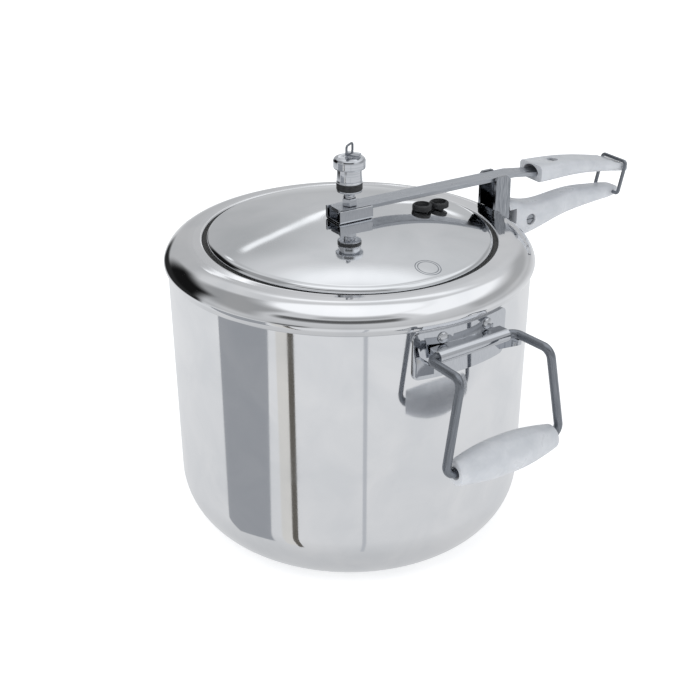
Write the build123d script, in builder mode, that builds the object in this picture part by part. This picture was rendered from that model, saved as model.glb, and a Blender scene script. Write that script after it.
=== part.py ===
# Stovetop pressure cooker with an oval lid that seats from the inside.
# Millimetres. +Z is up, the pot stands on z = 0, its axis is Z.
# The long handle points along +X and the two carrying bails face -Y and +Y.
from build123d import *
import math
import os

os.makedirs("parts", exist_ok=True)

# ------------------------------------------------------------------ driving sizes
SHOULDER_D = 280.0      # widest diameter, across the rolled shoulder
POT_H = 237.0           # table to the top of the shoulder
SHEET = 3.0             # pot wall
CORNER_R = 50.0         # big radius between wall and base
LID_RISE = 13.0         # crown of the lid above the shoulder
BAR_W = 16.0            # lever strip width
BAR_T = 3.2             # lever strip thickness
GRIP_L = 95.0           # length of the long upper grip
BAIL_WIRE_D = 6.3       # carrying bail wire
BAIL_GRIP_D = 28.0      # thickest part of a bail grip
BAIL_GRIP_L = 88.0      # length of a bail grip
BAIL_TURN = 3.5         # the bails sit this far round from square to the handle, degrees
TUBE_D = 9.0            # vent tube
WEIGHT_CAP_D = 24.2     # cap of the regulator weight

# ------------------------------------------------------------------ clearances
SEAT = 0.02             # pieces that press flat on each other
RUN = 0.05              # radial running fit of a pin in its hole
FREE = 0.35             # radial play of a loose sleeve
HOLE = 0.1              # radial play of a rivet or screw in its hole

# ------------------------------------------------------------------ pot profile
R_SH = SHOULDER_D / 2
R_TOP = R_SH - 2.8                  # wall under the shoulder
R_LOW = R_SH - 5.2                  # wall above the bottom corner
Z_SH = POT_H - 20.5                 # where the wall meets the shoulder
OPEN_A = R_SH - 30.0                # opening, half size along the handle
OPEN_B = R_SH - 26.0                # opening, half size across the handle
LIP_Z = POT_H - SHEET               # underside of the sealing lip


def wall_r(z):
    """Outer radius of the slightly flared wall at height z."""
    return R_LOW + (R_TOP - R_LOW) * (z - CORNER_R) / (Z_SH - CORNER_R)


def shoulder_points(grow):
    """Shoulder curve from the wall to the lip, moved outward by grow."""
    base = [
        (R_SH - 1.5, POT_H - 19.3),
        (R_SH, POT_H - 15.2),
        (R_SH - 2.5, POT_H - 8.5),
        (R_SH - 8.6, POT_H - 3.1),
        (R_SH - 16.0, POT_H - 0.5),
        (R_SH - 22.0, POT_H),
    ]
    normals = [(0.95, -0.3), (1.0, 0.05), (0.86, 0.5), (0.55, 0.83), (0.2, 0.98), (0.0, 1.0)]
    return [(x + grow * nx, z + grow * nz) for (x, z), (nx, nz) in zip(base, normals)]


def radial_plane(azimuth, radius, z):
    """Plane whose normal points straight out from the pot axis."""
    c = math.cos(math.radians(azimuth))
    s = math.sin(math.radians(azimuth))
    return Plane(origin=(radius * c, radius * s, z), x_dir=(-s, c, 0), z_dir=(c, s, 0))


# ------------------------------------------------------------------ rivets
RIVET_D = 3.7
RIVET_HEAD_D = 8.4
RIVET_HEAD_H = 2.3
BAIL_RIVET_Z = POT_H - 27.4
BAIL_RIVET_X = 19.5
BAIL_PLATE_T = 1.5
BRACKET_T = 2.5
BRACKET_RIVET_ZS = (POT_H - 38.0, POT_H - 52.0)
bail_rivet_step = math.degrees(math.asin(BAIL_RIVET_X / R_TOP))
rivet_sites = []
for side, azimuth in (("a", BAIL_TURN - 90.0), ("b", BAIL_TURN + 90.0)):
    for number, step in ((1, -bail_rivet_step), (2, bail_rivet_step)):
        seat = wall_r(BAIL_RIVET_Z) + BAIL_PLATE_T + 0.15
        rivet_sites.append((f"bail_rivet_{side}{number}", azimuth + step, seat, BAIL_RIVET_Z))
for number, height in enumerate(BRACKET_RIVET_ZS, start=1):
    seat = R_TOP + 0.05 + BRACKET_T + 0.05
    rivet_sites.append((f"bracket_rivet_{number}", 0.0, seat, height))

# ------------------------------------------------------------------ pot
with BuildPart() as pot_body:
    with BuildSketch(Plane.XZ):
        with BuildLine():
            outer = shoulder_points(0)
            inner = shoulder_points(-SHEET)
            Line((0, 0), (R_LOW - CORNER_R, 0))
            CenterArc((R_LOW - CORNER_R, CORNER_R), CORNER_R, -90, 90)
            Line((R_LOW, CORNER_R), (R_TOP, Z_SH))
            Line((R_TOP, Z_SH), outer[0])
            Spline(*outer, tangents=[(0.6, 0.8), (-1, 0)])
            Line(outer[-1], (OPEN_A - 12, POT_H))
            Line((OPEN_A - 12, POT_H), (OPEN_A - 12, LIP_Z))
            Line((OPEN_A - 12, LIP_Z), inner[-1])
            Spline(*reversed(inner), tangents=[(1, 0), (-0.6, -0.8)])
            Line(inner[0], (R_TOP - SHEET, Z_SH - 1))
            Line((R_TOP - SHEET, Z_SH - 1), (R_LOW - SHEET, CORNER_R))
            CenterArc((R_LOW - CORNER_R, CORNER_R), CORNER_R - SHEET, -90, 90)
            Line((R_LOW - CORNER_R, SHEET), (0, SHEET))
            Line((0, SHEET), (0, 0))
        make_face()
    revolve(axis=Axis.Z)
    with BuildSketch(Plane.XY.offset(LIP_Z - 1)):
        Ellipse(OPEN_A, OPEN_B)
    extrude(amount=SHEET + 2, mode=Mode.SUBTRACT)
    lip_edges = pot_body.edges().filter_by(lambda e: abs(e.bounding_box().size.X - 2 * OPEN_A) < 0.01)
    fillet(lip_edges, 1.3)
    with BuildSketch(*[radial_plane(azimuth, R_SH + 5, z) for _, azimuth, _, z in rivet_sites]):
        Circle(RIVET_D / 2 + HOLE)
    extrude(amount=-20, mode=Mode.SUBTRACT)
pot_body.part.label = "pot_body"
export_step(pot_body.part, "parts/pot_body.step")

# domed rivets that hold the bail brackets and the handle bracket
for name, azimuth, seat, height in rivet_sites:
    inside = wall_r(height) - SHEET - 0.15
    site = radial_plane(azimuth, 0, height)
    profile = Plane(origin=site.origin, x_dir=site.z_dir, z_dir=site.x_dir)
    head_r = RIVET_HEAD_D / 2
    with BuildPart() as rivet:
        with BuildSketch(profile):
            with BuildLine():
                Line((inside - 1.6, 0), (inside - 1.6, head_r - 1.0))
                Line((inside - 1.6, head_r - 1.0), (inside, head_r - 0.6))
                Line((inside, head_r - 0.6), (inside, RIVET_D / 2))
                Line((inside, RIVET_D / 2), (seat, RIVET_D / 2))
                Line((seat, RIVET_D / 2), (seat, head_r))
                RadiusArc((seat, head_r), (seat + RIVET_HEAD_H, 0),
                          (head_r ** 2 + RIVET_HEAD_H ** 2) / (2 * RIVET_HEAD_H))
                Line((seat + RIVET_HEAD_H, 0), (inside - 1.6, 0))
            make_face()
        revolve(axis=Axis(origin=site.origin, direction=site.z_dir))
    rivet.part.label = name
    export_step(rivet.part, f"parts/{name}.step")

# ------------------------------------------------------------------ handle bracket
BAR_Z = POT_H + 20.5                # underside of the lever strip
FULCRUM_X = R_SH + 2.7              # centre of the upright web
WEB_IN = FULCRUM_X - BRACKET_T / 2
WEB_OUT = FULCRUM_X + BRACKET_T / 2
EAR_X0 = R_SH - 10.5
EAR_Y = BAR_W / 2 + 0.7             # inner face of an ear
EAR_OUT = EAR_Y + BRACKET_T
EAR_TOP = BAR_Z + BAR_T + 0.6
TONGUE_T = 3.2
TONGUE_X1 = R_SH + 38.0
TONGUE_Z0 = POT_H - 26.0
TONGUE_Z1 = POT_H - 6.0
HANDLE_SCREW = (R_SH + 26.5, POT_H - 17.0)
FOOT_Z = POT_H - 60.0

with BuildPart() as handle_bracket:
    # web, joggle and riveted foot in one bent strip
    with BuildSketch(Plane.XZ):
        with BuildLine():
            Polyline(
                (WEB_IN, BAR_Z - 1.5), (WEB_IN, POT_H - 19.0),
                (R_TOP + 0.05, POT_H - 27.0), (R_TOP + 0.05, FOOT_Z),
                (R_TOP + 0.05 + BRACKET_T, FOOT_Z),
                (R_TOP + 0.05 + BRACKET_T, POT_H - 28.0),
                (WEB_OUT, POT_H - 20.0), (WEB_OUT, BAR_Z - 1.5),
            )
            RadiusArc((WEB_OUT, BAR_Z - 1.5), (FULCRUM_X, BAR_Z - RUN), -BRACKET_T / 2 - 0.2)
            RadiusArc((FULCRUM_X, BAR_Z - RUN), (WEB_IN, BAR_Z - 1.5), -BRACKET_T / 2 - 0.2)
        make_face()
    extrude(amount=EAR_OUT, both=True)
    # two ears that keep the lever strip in line
    for y0 in (EAR_Y, -EAR_OUT):
        with BuildSketch(Plane.XZ.offset(-y0 - BRACKET_T)):
            with BuildLine():
                Polyline(
                    (EAR_X0, POT_H - 8.0), (WEB_OUT, POT_H - 19.0),
                    (WEB_OUT, EAR_TOP - 3.0), (WEB_OUT - 3.0, EAR_TOP),
                    (EAR_X0 + 2.0, EAR_TOP), (EAR_X0, EAR_TOP - 2.0),
                    close=True,
                )
            make_face()
        extrude(amount=BRACKET_T)
    # tongue that the lower handle is pushed over
    with BuildSketch(Plane.XZ):
        with BuildLine():
            Polyline(
                (WEB_OUT - 0.5, TONGUE_Z0), (TONGUE_X1 - 4, TONGUE_Z0),
                (TONGUE_X1, TONGUE_Z0 + 4), (TONGUE_X1, TONGUE_Z1 - 6),
                (WEB_OUT + 12, TONGUE_Z1), (WEB_OUT - 0.5, TONGUE_Z1),
                close=True,
            )
        make_face()
    extrude(amount=TONGUE_T / 2, both=True)
    with BuildSketch(Plane.XZ):
        with Locations(HANDLE_SCREW):
            Circle(2.4 + HOLE)
    extrude(amount=TONGUE_T, both=True, mode=Mode.SUBTRACT)
    for height in BRACKET_RIVET_ZS:
        with BuildSketch(radial_plane(0, R_SH + 5, height)):
            Circle(RIVET_D / 2 + HOLE)
        extrude(amount=-20, mode=Mode.SUBTRACT)
    # the feet of the ears follow the rolled shoulder
    with BuildSketch(Plane.XZ):
        with BuildLine():
            form = shoulder_points(0.12)
            Line((0, Z_SH - 2), (form[0][0], Z_SH - 2))
            Line((form[0][0], Z_SH - 2), form[0])
            Spline(*form, tangents=[(0.6, 0.8), (-1, 0)])
            Line(form[-1], (0, form[-1][1]))
            Line((0, form[-1][1]), (0, Z_SH - 2))
        make_face()
    revolve(axis=Axis.Z, mode=Mode.SUBTRACT)
handle_bracket.part.label = "handle_bracket"
export_step(handle_bracket.part, "parts/handle_bracket.step")

# ------------------------------------------------------------------ latch geometry
LATCH_D = 3.0
PIVOT_X = R_SH + 117.0
PIVOT_Z = POT_H - 11.0
CROSS_X = PIVOT_X + 6.5
CROSS_Z = PIVOT_Z + 26.3
LEG_Y = 14.0
LATCH_GAP = 0.3
leg_len = math.hypot(CROSS_X - PIVOT_X, CROSS_Z - PIVOT_Z)
leg_dir = ((CROSS_X - PIVOT_X) / leg_len, (CROSS_Z - PIVOT_Z) / leg_len)
NOSE_R = 7.0                        # rounded end of the upper grip under the wire
NOSE_TOP = (CROSS_X - leg_dir[0] * (LATCH_D / 2 + LATCH_GAP),
            CROSS_Z - leg_dir[1] * (LATCH_D / 2 + LATCH_GAP))
NOSE_C = (NOSE_TOP[0] - leg_dir[0] * NOSE_R, NOSE_TOP[1] - leg_dir[1] * NOSE_R)

with BuildPart() as latch_wire:
    with BuildLine():
        loop = FilletPolyline(
            (PIVOT_X, -2.5, PIVOT_Z), (PIVOT_X, -LEG_Y, PIVOT_Z),
            (CROSS_X, -LEG_Y, CROSS_Z), (CROSS_X, LEG_Y, CROSS_Z),
            (PIVOT_X, LEG_Y, PIVOT_Z), (PIVOT_X, 2.5, PIVOT_Z),
            radius=2.6,
        )
    with BuildSketch(Plane(origin=loop @ 0, z_dir=loop % 0)):
        Circle(LATCH_D / 2)
    sweep()
latch_wire.part.label = "latch_wire"
export_step(latch_wire.part, "parts/latch_wire.step")

# ------------------------------------------------------------------ lower handle
HX = WEB_OUT + 0.15
LOWER_SECTIONS = [
    # distance from the web, centre below shoulder top, height, width, corner radius
    (0.0, -16.5, 37.0, 24.0, 7.0),
    (13.0, -16.8, 31.0, 24.0, 8.0),
    (27.0, -17.3, 25.0, 23.6, 8.0),
    (45.0, -14.9, 20.6, 23.0, 8.0),
    (69.0, -11.2, 17.6, 21.6, 7.4),
    (91.0, -10.7, 13.8, 19.6, 6.0),
    (107.0, -11.0, 11.0, 17.8, 5.0),
    (117.0, -11.2, 8.4, 14.4, 3.9),
    (121.5, -11.3, 4.6, 9.0, 2.1),
]
with BuildPart() as lower_handle:
    for dx, dz, height, width, corner in LOWER_SECTIONS:
        with BuildSketch(Plane(origin=(HX + dx, 0, POT_H + dz), x_dir=(0, 1, 0), z_dir=(1, 0, 0))):
            RectangleRounded(width, height, corner)
    loft()
    # slot for the tongue and the notch it leaves at the root
    with BuildSketch(Plane.XZ):
        with BuildLine():
            Polyline(
                (HX - 1, TONGUE_Z0 - HOLE), (TONGUE_X1 + HOLE, TONGUE_Z0 - HOLE),
                (TONGUE_X1 + HOLE, TONGUE_Z1 - 5), (WEB_OUT + 13, TONGUE_Z1 + HOLE),
                (HX - 1, TONGUE_Z1 + HOLE), close=True,
            )
        make_face()
    extrude(amount=TONGUE_T / 2 + HOLE, both=True, mode=Mode.SUBTRACT)
    with BuildSketch(Plane.XZ):
        with Locations((HX + 3.4, POT_H - 11.2)):
            Rectangle(7.4, 12.4)
    extrude(amount=20, both=True, mode=Mode.SUBTRACT)
    # screw across the handle, with a deep round recess on both sides
    with BuildSketch(Plane.XZ):
        with Locations(HANDLE_SCREW):
            Circle(2.4 + HOLE)
    extrude(amount=20, both=True, mode=Mode.SUBTRACT)
    for y0 in (8.0, -20.0):
        with BuildSketch(Plane.XZ.offset(-y0 - 12)):
            with Locations(HANDLE_SCREW):
                Circle(4.7)
        extrude(amount=12, mode=Mode.SUBTRACT)
    # bearing of the latch wire
    with BuildSketch(Plane.XZ):
        with Locations((PIVOT_X, PIVOT_Z)):
            Circle(LATCH_D / 2 + RUN)
    extrude(amount=20, both=True, mode=Mode.SUBTRACT)
lower_handle.part.label = "lower_handle"
export_step(lower_handle.part, "parts/lower_handle.step")

with BuildPart() as handle_screw:
    with BuildSketch(Plane.XZ):
        with Locations(HANDLE_SCREW):
            Circle(2.4)
    extrude(amount=8.0, both=True)
    with BuildSketch(Plane.XZ.offset(8.0 + SEAT)):
        with Locations(HANDLE_SCREW):
            Circle(4.2)
    extrude(amount=2.2)
    with BuildSketch(Plane.XZ.offset(8.0 - 1.0)):
        with Locations(HANDLE_SCREW):
            Circle(2.4)
    extrude(amount=2.0)
    with BuildSketch(Plane.XZ.offset(8.0 + SEAT + 2.2 - 0.8)):
        with Locations(HANDLE_SCREW):
            Rectangle(7.0, 1.1)
    extrude(amount=2.0, mode=Mode.SUBTRACT)
    chamfer(handle_screw.faces().sort_by(Axis.Y)[0].outer_wire().edges().filter_by(GeomType.CIRCLE), 0.3)
handle_screw.part.label = "handle_screw"
export_step(handle_screw.part, "parts/handle_screw.step")

with BuildPart() as handle_nut:
    with BuildSketch(Plane.XZ.offset(-8.0 - SEAT)):
        with Locations(HANDLE_SCREW):
            RegularPolygon(4.2, 6)
            Circle(2.4 + SEAT, mode=Mode.SUBTRACT)
    extrude(amount=-2.6)
handle_nut.part.label = "handle_nut"
export_step(handle_nut.part, "parts/handle_nut.step")

# ------------------------------------------------------------------ lever strip
BAR_X0 = -13.0
BEND_X = FULCRUM_X + 7.5
GRIP_X0 = R_SH + 33.0
GRIP_BAR_DROP = 3.0
BAR_X1 = GRIP_X0 + 48.0
BAR_END_DROP = 5.8


def bar_side(extra):
    """Side outline of the lever strip, thickened by extra on each face."""
    low = [(BAR_X0, 0), (BEND_X, 0), (GRIP_X0, -GRIP_BAR_DROP), (BAR_X1, -BAR_END_DROP)]
    under = [(x, BAR_Z + dz - extra) for x, dz in low]
    upper = [(x, BAR_Z + BAR_T + dz + extra) for x, dz in reversed(low)]
    return under + upper


with BuildPart() as lever_bar:
    with BuildSketch(Plane.XZ):
        with BuildLine():
            Polyline(*bar_side(0), close=True)
        make_face()
    extrude(amount=BAR_W / 2, both=True)
    corner_edges = lever_bar.edges().filter_by(Axis.Z).sort_by(Axis.X)
    fillet(corner_edges[:2], 3.0)
    fillet(lever_bar.edges().filter_by(Axis.Y).filter_by(
        lambda e: abs(e.center().X - BEND_X) < 1), 6.0)
    with BuildSketch(Plane.XY.offset(BAR_Z - 1)):
        Circle(TUBE_D / 2 + 0.5)
    extrude(amount=BAR_T + 2, mode=Mode.SUBTRACT)
    with BuildSketch(Plane.XY.offset(BAR_Z - 12)):
        with Locations((GRIP_X0 + 22.0, 0)):
            Circle(2.0 + HOLE)
    extrude(amount=20, mode=Mode.SUBTRACT)
lever_bar.part.label = "lever_bar"
export_step(lever_bar.part, "parts/lever_bar.step")

# ------------------------------------------------------------------ upper grip
GRIP_SECTIONS = [
    # share of the grip length, centre above shoulder top, height, width, corner radius
    (0.0, 19.8, 13.4, 28.0, 3.6),
    (0.22, 19.4, 13.0, 27.6, 4.6),
    (0.45, 18.2, 11.4, 26.6, 4.8),
    (0.70, 15.0, 9.8, 25.0, 4.4),
    (0.86, 12.3, 9.0, 24.0, 4.0),
    (1.0, 9.9, 8.4, 23.2, 3.6),
]
SCREW_X = GRIP_X0 + 22.0
SCREW_TOP = BAR_Z + 2.6
NUT_Z = BAR_Z - 6.6
with BuildPart() as upper_grip:
    for share, dz, height, width, corner in GRIP_SECTIONS:
        with BuildSketch(Plane(origin=(GRIP_X0 + share * GRIP_L, 0, POT_H + dz),
                               x_dir=(0, 1, 0), z_dir=(1, 0, 0))):
            RectangleRounded(width, height, corner)
    loft()
    # the rounded end that the latch wire closes over
    slope = -leg_dir[0] / leg_dir[1]
    back_x = GRIP_X0 - 5
    with BuildSketch(Plane.XZ):
        with BuildLine():
            Line((back_x, POT_H - 5), (back_x, POT_H + 40))
            Line((back_x, POT_H + 40), (NOSE_TOP[0] - 25, NOSE_TOP[1] - slope * 25 + 8))
            Line((NOSE_TOP[0] - 25, NOSE_TOP[1] - slope * 25 + 8),
                 (NOSE_TOP[0] - 9, NOSE_TOP[1] - slope * 9))
            Line((NOSE_TOP[0] - 9, NOSE_TOP[1] - slope * 9), NOSE_TOP)
            RadiusArc(NOSE_TOP, (NOSE_C[0] + NOSE_R, NOSE_C[1]), NOSE_R)
            Line((NOSE_C[0] + NOSE_R, NOSE_C[1]), (NOSE_C[0] + NOSE_R, POT_H - 5))
            Line((NOSE_C[0] + NOSE_R, POT_H - 5), (back_x, POT_H - 5))
        make_face()
    extrude(amount=30, both=True, mode=Mode.INTERSECT)
    # arched mouth where the strip goes in
    with BuildSketch(Plane(origin=(GRIP_X0 - 1, 0, BAR_Z - GRIP_BAR_DROP + BAR_T / 2),
                           x_dir=(0, 1, 0), z_dir=(1, 0, 0))):
        Ellipse(BAR_W / 2 + 1.2, 6.2)
        Rectangle(40, 20, align=(Align.CENTER, Align.MAX), mode=Mode.SUBTRACT)
    extrude(amount=13, mode=Mode.SUBTRACT)
    with BuildSketch(Plane.XZ):
        with BuildLine():
            Polyline(*[(x + (0.3 if x > GRIP_X0 + 1 else 0), z) for x, z in bar_side(HOLE)], close=True)
        make_face()
    extrude(amount=BAR_W / 2 + HOLE, both=True, mode=Mode.SUBTRACT)
    # screw from above, nut pocket from below
    with BuildSketch(Plane.XY.offset(POT_H)):
        with Locations((SCREW_X, 0)):
            Circle(2.0 + HOLE)
    extrude(amount=40, mode=Mode.SUBTRACT)
    with BuildSketch(Plane.XY.offset(SCREW_TOP)):
        with Locations((SCREW_X, 0)):
            Circle(4.6)
    extrude(amount=20, mode=Mode.SUBTRACT)
    with BuildSketch(Plane.XY.offset(NUT_Z + 2.0)):
        with Locations((SCREW_X, 0)):
            Circle(4.2)
    extrude(amount=-20, mode=Mode.SUBTRACT)
upper_grip.part.label = "upper_grip"
export_step(upper_grip.part, "parts/upper_grip.step")

with BuildPart() as grip_screw:
    with BuildSketch(Plane.XY.offset(NUT_Z - 0.6)):
        with Locations((SCREW_X, 0)):
            Circle(2.0)
    extrude(amount=SCREW_TOP + 1 - NUT_Z + 0.6)
    with BuildSketch(Plane.XY.offset(SCREW_TOP + SEAT)):
        with Locations((SCREW_X, 0)):
            Circle(4.0)
    extrude(amount=2.0)
    with BuildSketch(Plane.XY.offset(SCREW_TOP + 1.3)):
        with Locations((SCREW_X, 0)):
            Rectangle(1.1, 9.0)
    extrude(amount=3.0, mode=Mode.SUBTRACT)
grip_screw.part.label = "grip_screw"
export_step(grip_screw.part, "parts/grip_screw.step")

with BuildPart() as grip_nut:
    with BuildSketch(Plane.XY.offset(NUT_Z - SEAT)):
        with Locations((SCREW_X, 0)):
            RegularPolygon(4.0, 6)
            Circle(2.0 + SEAT, mode=Mode.SUBTRACT)
    extrude(amount=2.0)
grip_nut.part.label = "grip_nut"
export_step(grip_nut.part, "parts/grip_nut.step")

# ------------------------------------------------------------------ lid
LID_TOP = POT_H + LID_RISE
LID_T = 2.5
FLANGE_T = 2.2
GASKET_T = 3.0
DOME_GAP = 3.2                      # open groove round the lid
DOME_A = OPEN_A - DOME_GAP
DOME_B = OPEN_B - DOME_GAP
FLANGE_A = OPEN_A + 3.6
FLANGE_B = OPEN_B + 4.0
EDGE_R = 4.2                        # rolled edge of the crown
FLAT_R = 18.0
FLANGE_Z = LIP_Z - SEAT - GASKET_T - SEAT
EDGE_Z = POT_H + 2.4                # height of the lid crown at its rolled edge
plug_sites = [(78.0, -6.0), (60.0, -9.0)]
PLUG_HOLE_R = 4.0


def crown_z(r):
    """Height of the upper face of the lid at distance r from the axis."""
    drop = LID_TOP - EDGE_Z
    return LID_TOP - drop * ((r - FLAT_R) / (DOME_B - 4.5 - FLAT_R)) ** 2


def crown_profile(lower):
    """Closed section under the crown of the lid, lowered by the given amount."""
    mid = (FLAT_R + R_SH) / 2
    top = LID_TOP - lower
    Line((0, top), (FLAT_R, top))
    ThreePointArc((FLAT_R, top), (mid, crown_z(mid) - lower), (R_SH, crown_z(R_SH) - lower))
    Line((R_SH, crown_z(R_SH) - lower), (R_SH, FLANGE_Z - 20))
    Line((R_SH, FLANGE_Z - 20), (0, FLANGE_Z - 20))
    Line((0, FLANGE_Z - 20), (0, top))


# hollow under the lid: oval wall, domed ceiling
with BuildPart() as lid_hollow:
    with BuildSketch(Plane.XY.offset(FLANGE_Z - 10)):
        Ellipse(DOME_A - LID_T, DOME_B - LID_T)
    extrude(amount=40)
    with BuildSketch(Plane.XZ):
        with BuildLine():
            crown_profile(LID_T)
        make_face()
    revolve(axis=Axis.Z, mode=Mode.INTERSECT)
    fillet(lid_hollow.edges().filter_by(lambda e: FLANGE_Z < e.center().Z < LID_TOP - 8).filter_by(
        lambda e: e.bounding_box().size.X > DOME_A), EDGE_R - LID_T)

with BuildPart() as lid:
    with BuildSketch(Plane.XY.offset(FLANGE_Z - FLANGE_T)):
        Ellipse(DOME_A, DOME_B)
    extrude(amount=40)
    with BuildSketch(Plane.XZ):
        with BuildLine():
            crown_profile(0)
        make_face()
    revolve(axis=Axis.Z, mode=Mode.INTERSECT)
    fillet(lid.edges().filter_by(lambda e: FLANGE_Z < e.center().Z < LID_TOP - 5).filter_by(
        lambda e: e.bounding_box().size.X > DOME_A), EDGE_R)
    with BuildSketch(Plane.XY.offset(FLANGE_Z - FLANGE_T)):
        Ellipse(FLANGE_A, FLANGE_B)
    extrude(amount=FLANGE_T)
    add(lid_hollow.part, mode=Mode.SUBTRACT)
    with BuildSketch(Plane.XY.offset(LID_TOP - 20)):
        Circle(TUBE_D / 2 + HOLE)
        with Locations(*plug_sites):
            Circle(PLUG_HOLE_R + SEAT)
    extrude(amount=40, mode=Mode.SUBTRACT)
lid.part.label = "lid"
export_step(lid.part, "parts/lid.step")

with BuildPart() as lid_gasket:
    with BuildSketch(Plane.XY.offset(FLANGE_Z + SEAT)):
        Ellipse(FLANGE_A - 0.4, FLANGE_B - 0.4)
        Ellipse(DOME_A + HOLE, DOME_B + HOLE, mode=Mode.SUBTRACT)
    extrude(amount=GASKET_T)
lid_gasket.part.label = "lid_gasket"
export_step(lid_gasket.part, "parts/lid_gasket.step")

# ------------------------------------------------------------------ cradle on the lid
CRADLE_T = 1.8
CRADLE_IN = BAR_W / 2 + 0.6
CRADLE_OUT = CRADLE_IN + CRADLE_T
CRADLE_L = 29.0
CRADLE_TOP = BAR_Z + BAR_T - 0.4
with BuildPart() as lid_cradle:
    with BuildSketch(Plane.YZ.offset(-CRADLE_L / 2)):
        with BuildLine():
            Polyline(
                (-CRADLE_OUT, LID_TOP + SEAT), (CRADLE_OUT, LID_TOP + SEAT),
                (CRADLE_OUT, CRADLE_TOP), (CRADLE_IN, CRADLE_TOP),
                (CRADLE_IN, LID_TOP + SEAT + CRADLE_T), (-CRADLE_IN, LID_TOP + SEAT + CRADLE_T),
                (-CRADLE_IN, CRADLE_TOP), (-CRADLE_OUT, CRADLE_TOP),
                close=True,
            )
        make_face()
    extrude(amount=CRADLE_L)
    bends = lid_cradle.edges().filter_by(Axis.X).sort_by(Axis.Z)
    fillet(bends[:2], 2.6)
    with BuildSketch(Plane.XY.offset(LID_TOP - 1)):
        Circle(TUBE_D / 2 + HOLE)
    extrude(amount=CRADLE_T + 2, mode=Mode.SUBTRACT)
lid_cradle.part.label = "lid_cradle"
export_step(lid_cradle.part, "parts/lid_cradle.step")

BUSH_Z = LID_TOP + SEAT + CRADLE_T + SEAT
BAR_PLAY = 0.45
with BuildPart() as cradle_bush:
    with BuildSketch(Plane.XY.offset(BUSH_Z)):
        RegularPolygon(TUBE_D / 2 + 2.5, 6)
        Circle(TUBE_D / 2 + SEAT, mode=Mode.SUBTRACT)
    extrude(amount=BAR_Z - BAR_PLAY - BUSH_Z)
cradle_bush.part.label = "cradle_bush"
export_step(cradle_bush.part, "parts/cradle_bush.step")

NUT_Z0 = BAR_Z + BAR_T + BAR_PLAY
with BuildPart() as bar_nut:
    with BuildSketch(Plane.XY.offset(NUT_Z0)):
        RegularPolygon(TUBE_D / 2 + 1.5, 6)
        Circle(TUBE_D / 2 + SEAT, mode=Mode.SUBTRACT)
    extrude(amount=5.5)
    chamfer(bar_nut.faces().sort_by(Axis.Z)[-1].outer_wire().edges(), 0.5)
bar_nut.part.label = "bar_nut"
export_step(bar_nut.part, "parts/bar_nut.step")

TUBE_TOP = LID_TOP + 34.0
with BuildPart() as vent_tube:
    with BuildSketch(Plane.XZ):
        with BuildLine():
            Polyline(
                (1.6, LID_TOP - 13.0), (TUBE_D / 2 - 0.6, LID_TOP - 13.0),
                (TUBE_D / 2, LID_TOP - 12.4), (TUBE_D / 2, TUBE_TOP - 2.0),
                (TUBE_D / 2 - 2.2, TUBE_TOP), (1.6, TUBE_TOP),
                close=True,
            )
        make_face()
    revolve(axis=Axis.Z)
vent_tube.part.label = "vent_tube"
export_step(vent_tube.part, "parts/vent_tube.step")

with BuildPart() as vent_washer:
    with BuildSketch(Plane.XY.offset(LID_TOP - LID_T - SEAT)):
        Circle(TUBE_D / 2 + 5.5)
        Circle(TUBE_D / 2 + SEAT, mode=Mode.SUBTRACT)
    extrude(amount=-2.0)
vent_washer.part.label = "vent_washer"
export_step(vent_washer.part, "parts/vent_washer.step")

with BuildPart() as vent_nut:
    with BuildSketch(Plane.XY.offset(LID_TOP - LID_T - 2.0 - 2 * SEAT)):
        RegularPolygon(TUBE_D / 2 + 3.5, 6)
        Circle(TUBE_D / 2 + SEAT, mode=Mode.SUBTRACT)
    extrude(amount=-5.5)
vent_nut.part.label = "vent_nut"
export_step(vent_nut.part, "parts/vent_nut.step")

# rubber safety plugs pressed through the lid
PLUG_R = 7.6
for number, (px, py) in enumerate(plug_sites, start=1):
    reach = math.hypot(px, py)
    top_z = crown_z(reach - PLUG_R) + 0.25
    low_z = crown_z(reach + PLUG_R) - LID_T - 0.5
    with BuildPart() as safety_plug:
        with BuildSketch(Plane(origin=(px, py, 0), x_dir=(1, 0, 0), z_dir=(0, -1, 0))):
            with BuildLine():
                Polyline(
                    (0, low_z - 2.5), (PLUG_HOLE_R + 1.5, low_z - 2.5),
                    (PLUG_HOLE_R + 2.2, low_z), (PLUG_HOLE_R, low_z),
                    (PLUG_HOLE_R, top_z), (PLUG_R, top_z), (PLUG_R, top_z + 3.4),
                    (PLUG_R - 1.0, top_z + 4.2), (PLUG_R - 2.2, top_z + 4.2),
                    (PLUG_R - 3.0, top_z + 1.6), (0, top_z + 1.6),
                    close=True,
                )
            make_face()
        revolve(axis=Axis(origin=(px, py, 0), direction=(0, 0, 1)))
    name = f"safety_plug_{number}"
    safety_plug.part.label = name
    export_step(safety_plug.part, f"parts/{name}.step")

# ------------------------------------------------------------------ regulator weight
W0 = LID_TOP + 21.7                 # underside of the weight
RING_Z = W0 + 1.6
BODY_Z = RING_Z + 5.1
CAP_Z = W0 + 18.0
CAP_TOP = CAP_Z + 8.6
CAP_R = WEIGHT_CAP_D / 2
with BuildPart() as weight_body:
    with BuildSketch(Plane.XZ):
        with BuildLine():
            bore = TUBE_D / 2 + RUN
            Polyline(
                (bore, W0), (9.0, W0), (9.6, W0 + 0.6), (9.6, RING_Z), (7.4, RING_Z),
                (7.4, BODY_Z), (9.8, BODY_Z), (9.1, CAP_Z), (5.0, CAP_Z), (5.0, CAP_Z + 4.5),
                (0, CAP_Z + 4.5), (0, TUBE_TOP + RUN), (bore - 2.2, TUBE_TOP + RUN),
                (bore, TUBE_TOP - 2.0 + RUN),
                close=True,
            )
        make_face()
    revolve(axis=Axis.Z)
weight_body.part.label = "weight_body"
export_step(weight_body.part, "parts/weight_body.step")

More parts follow.
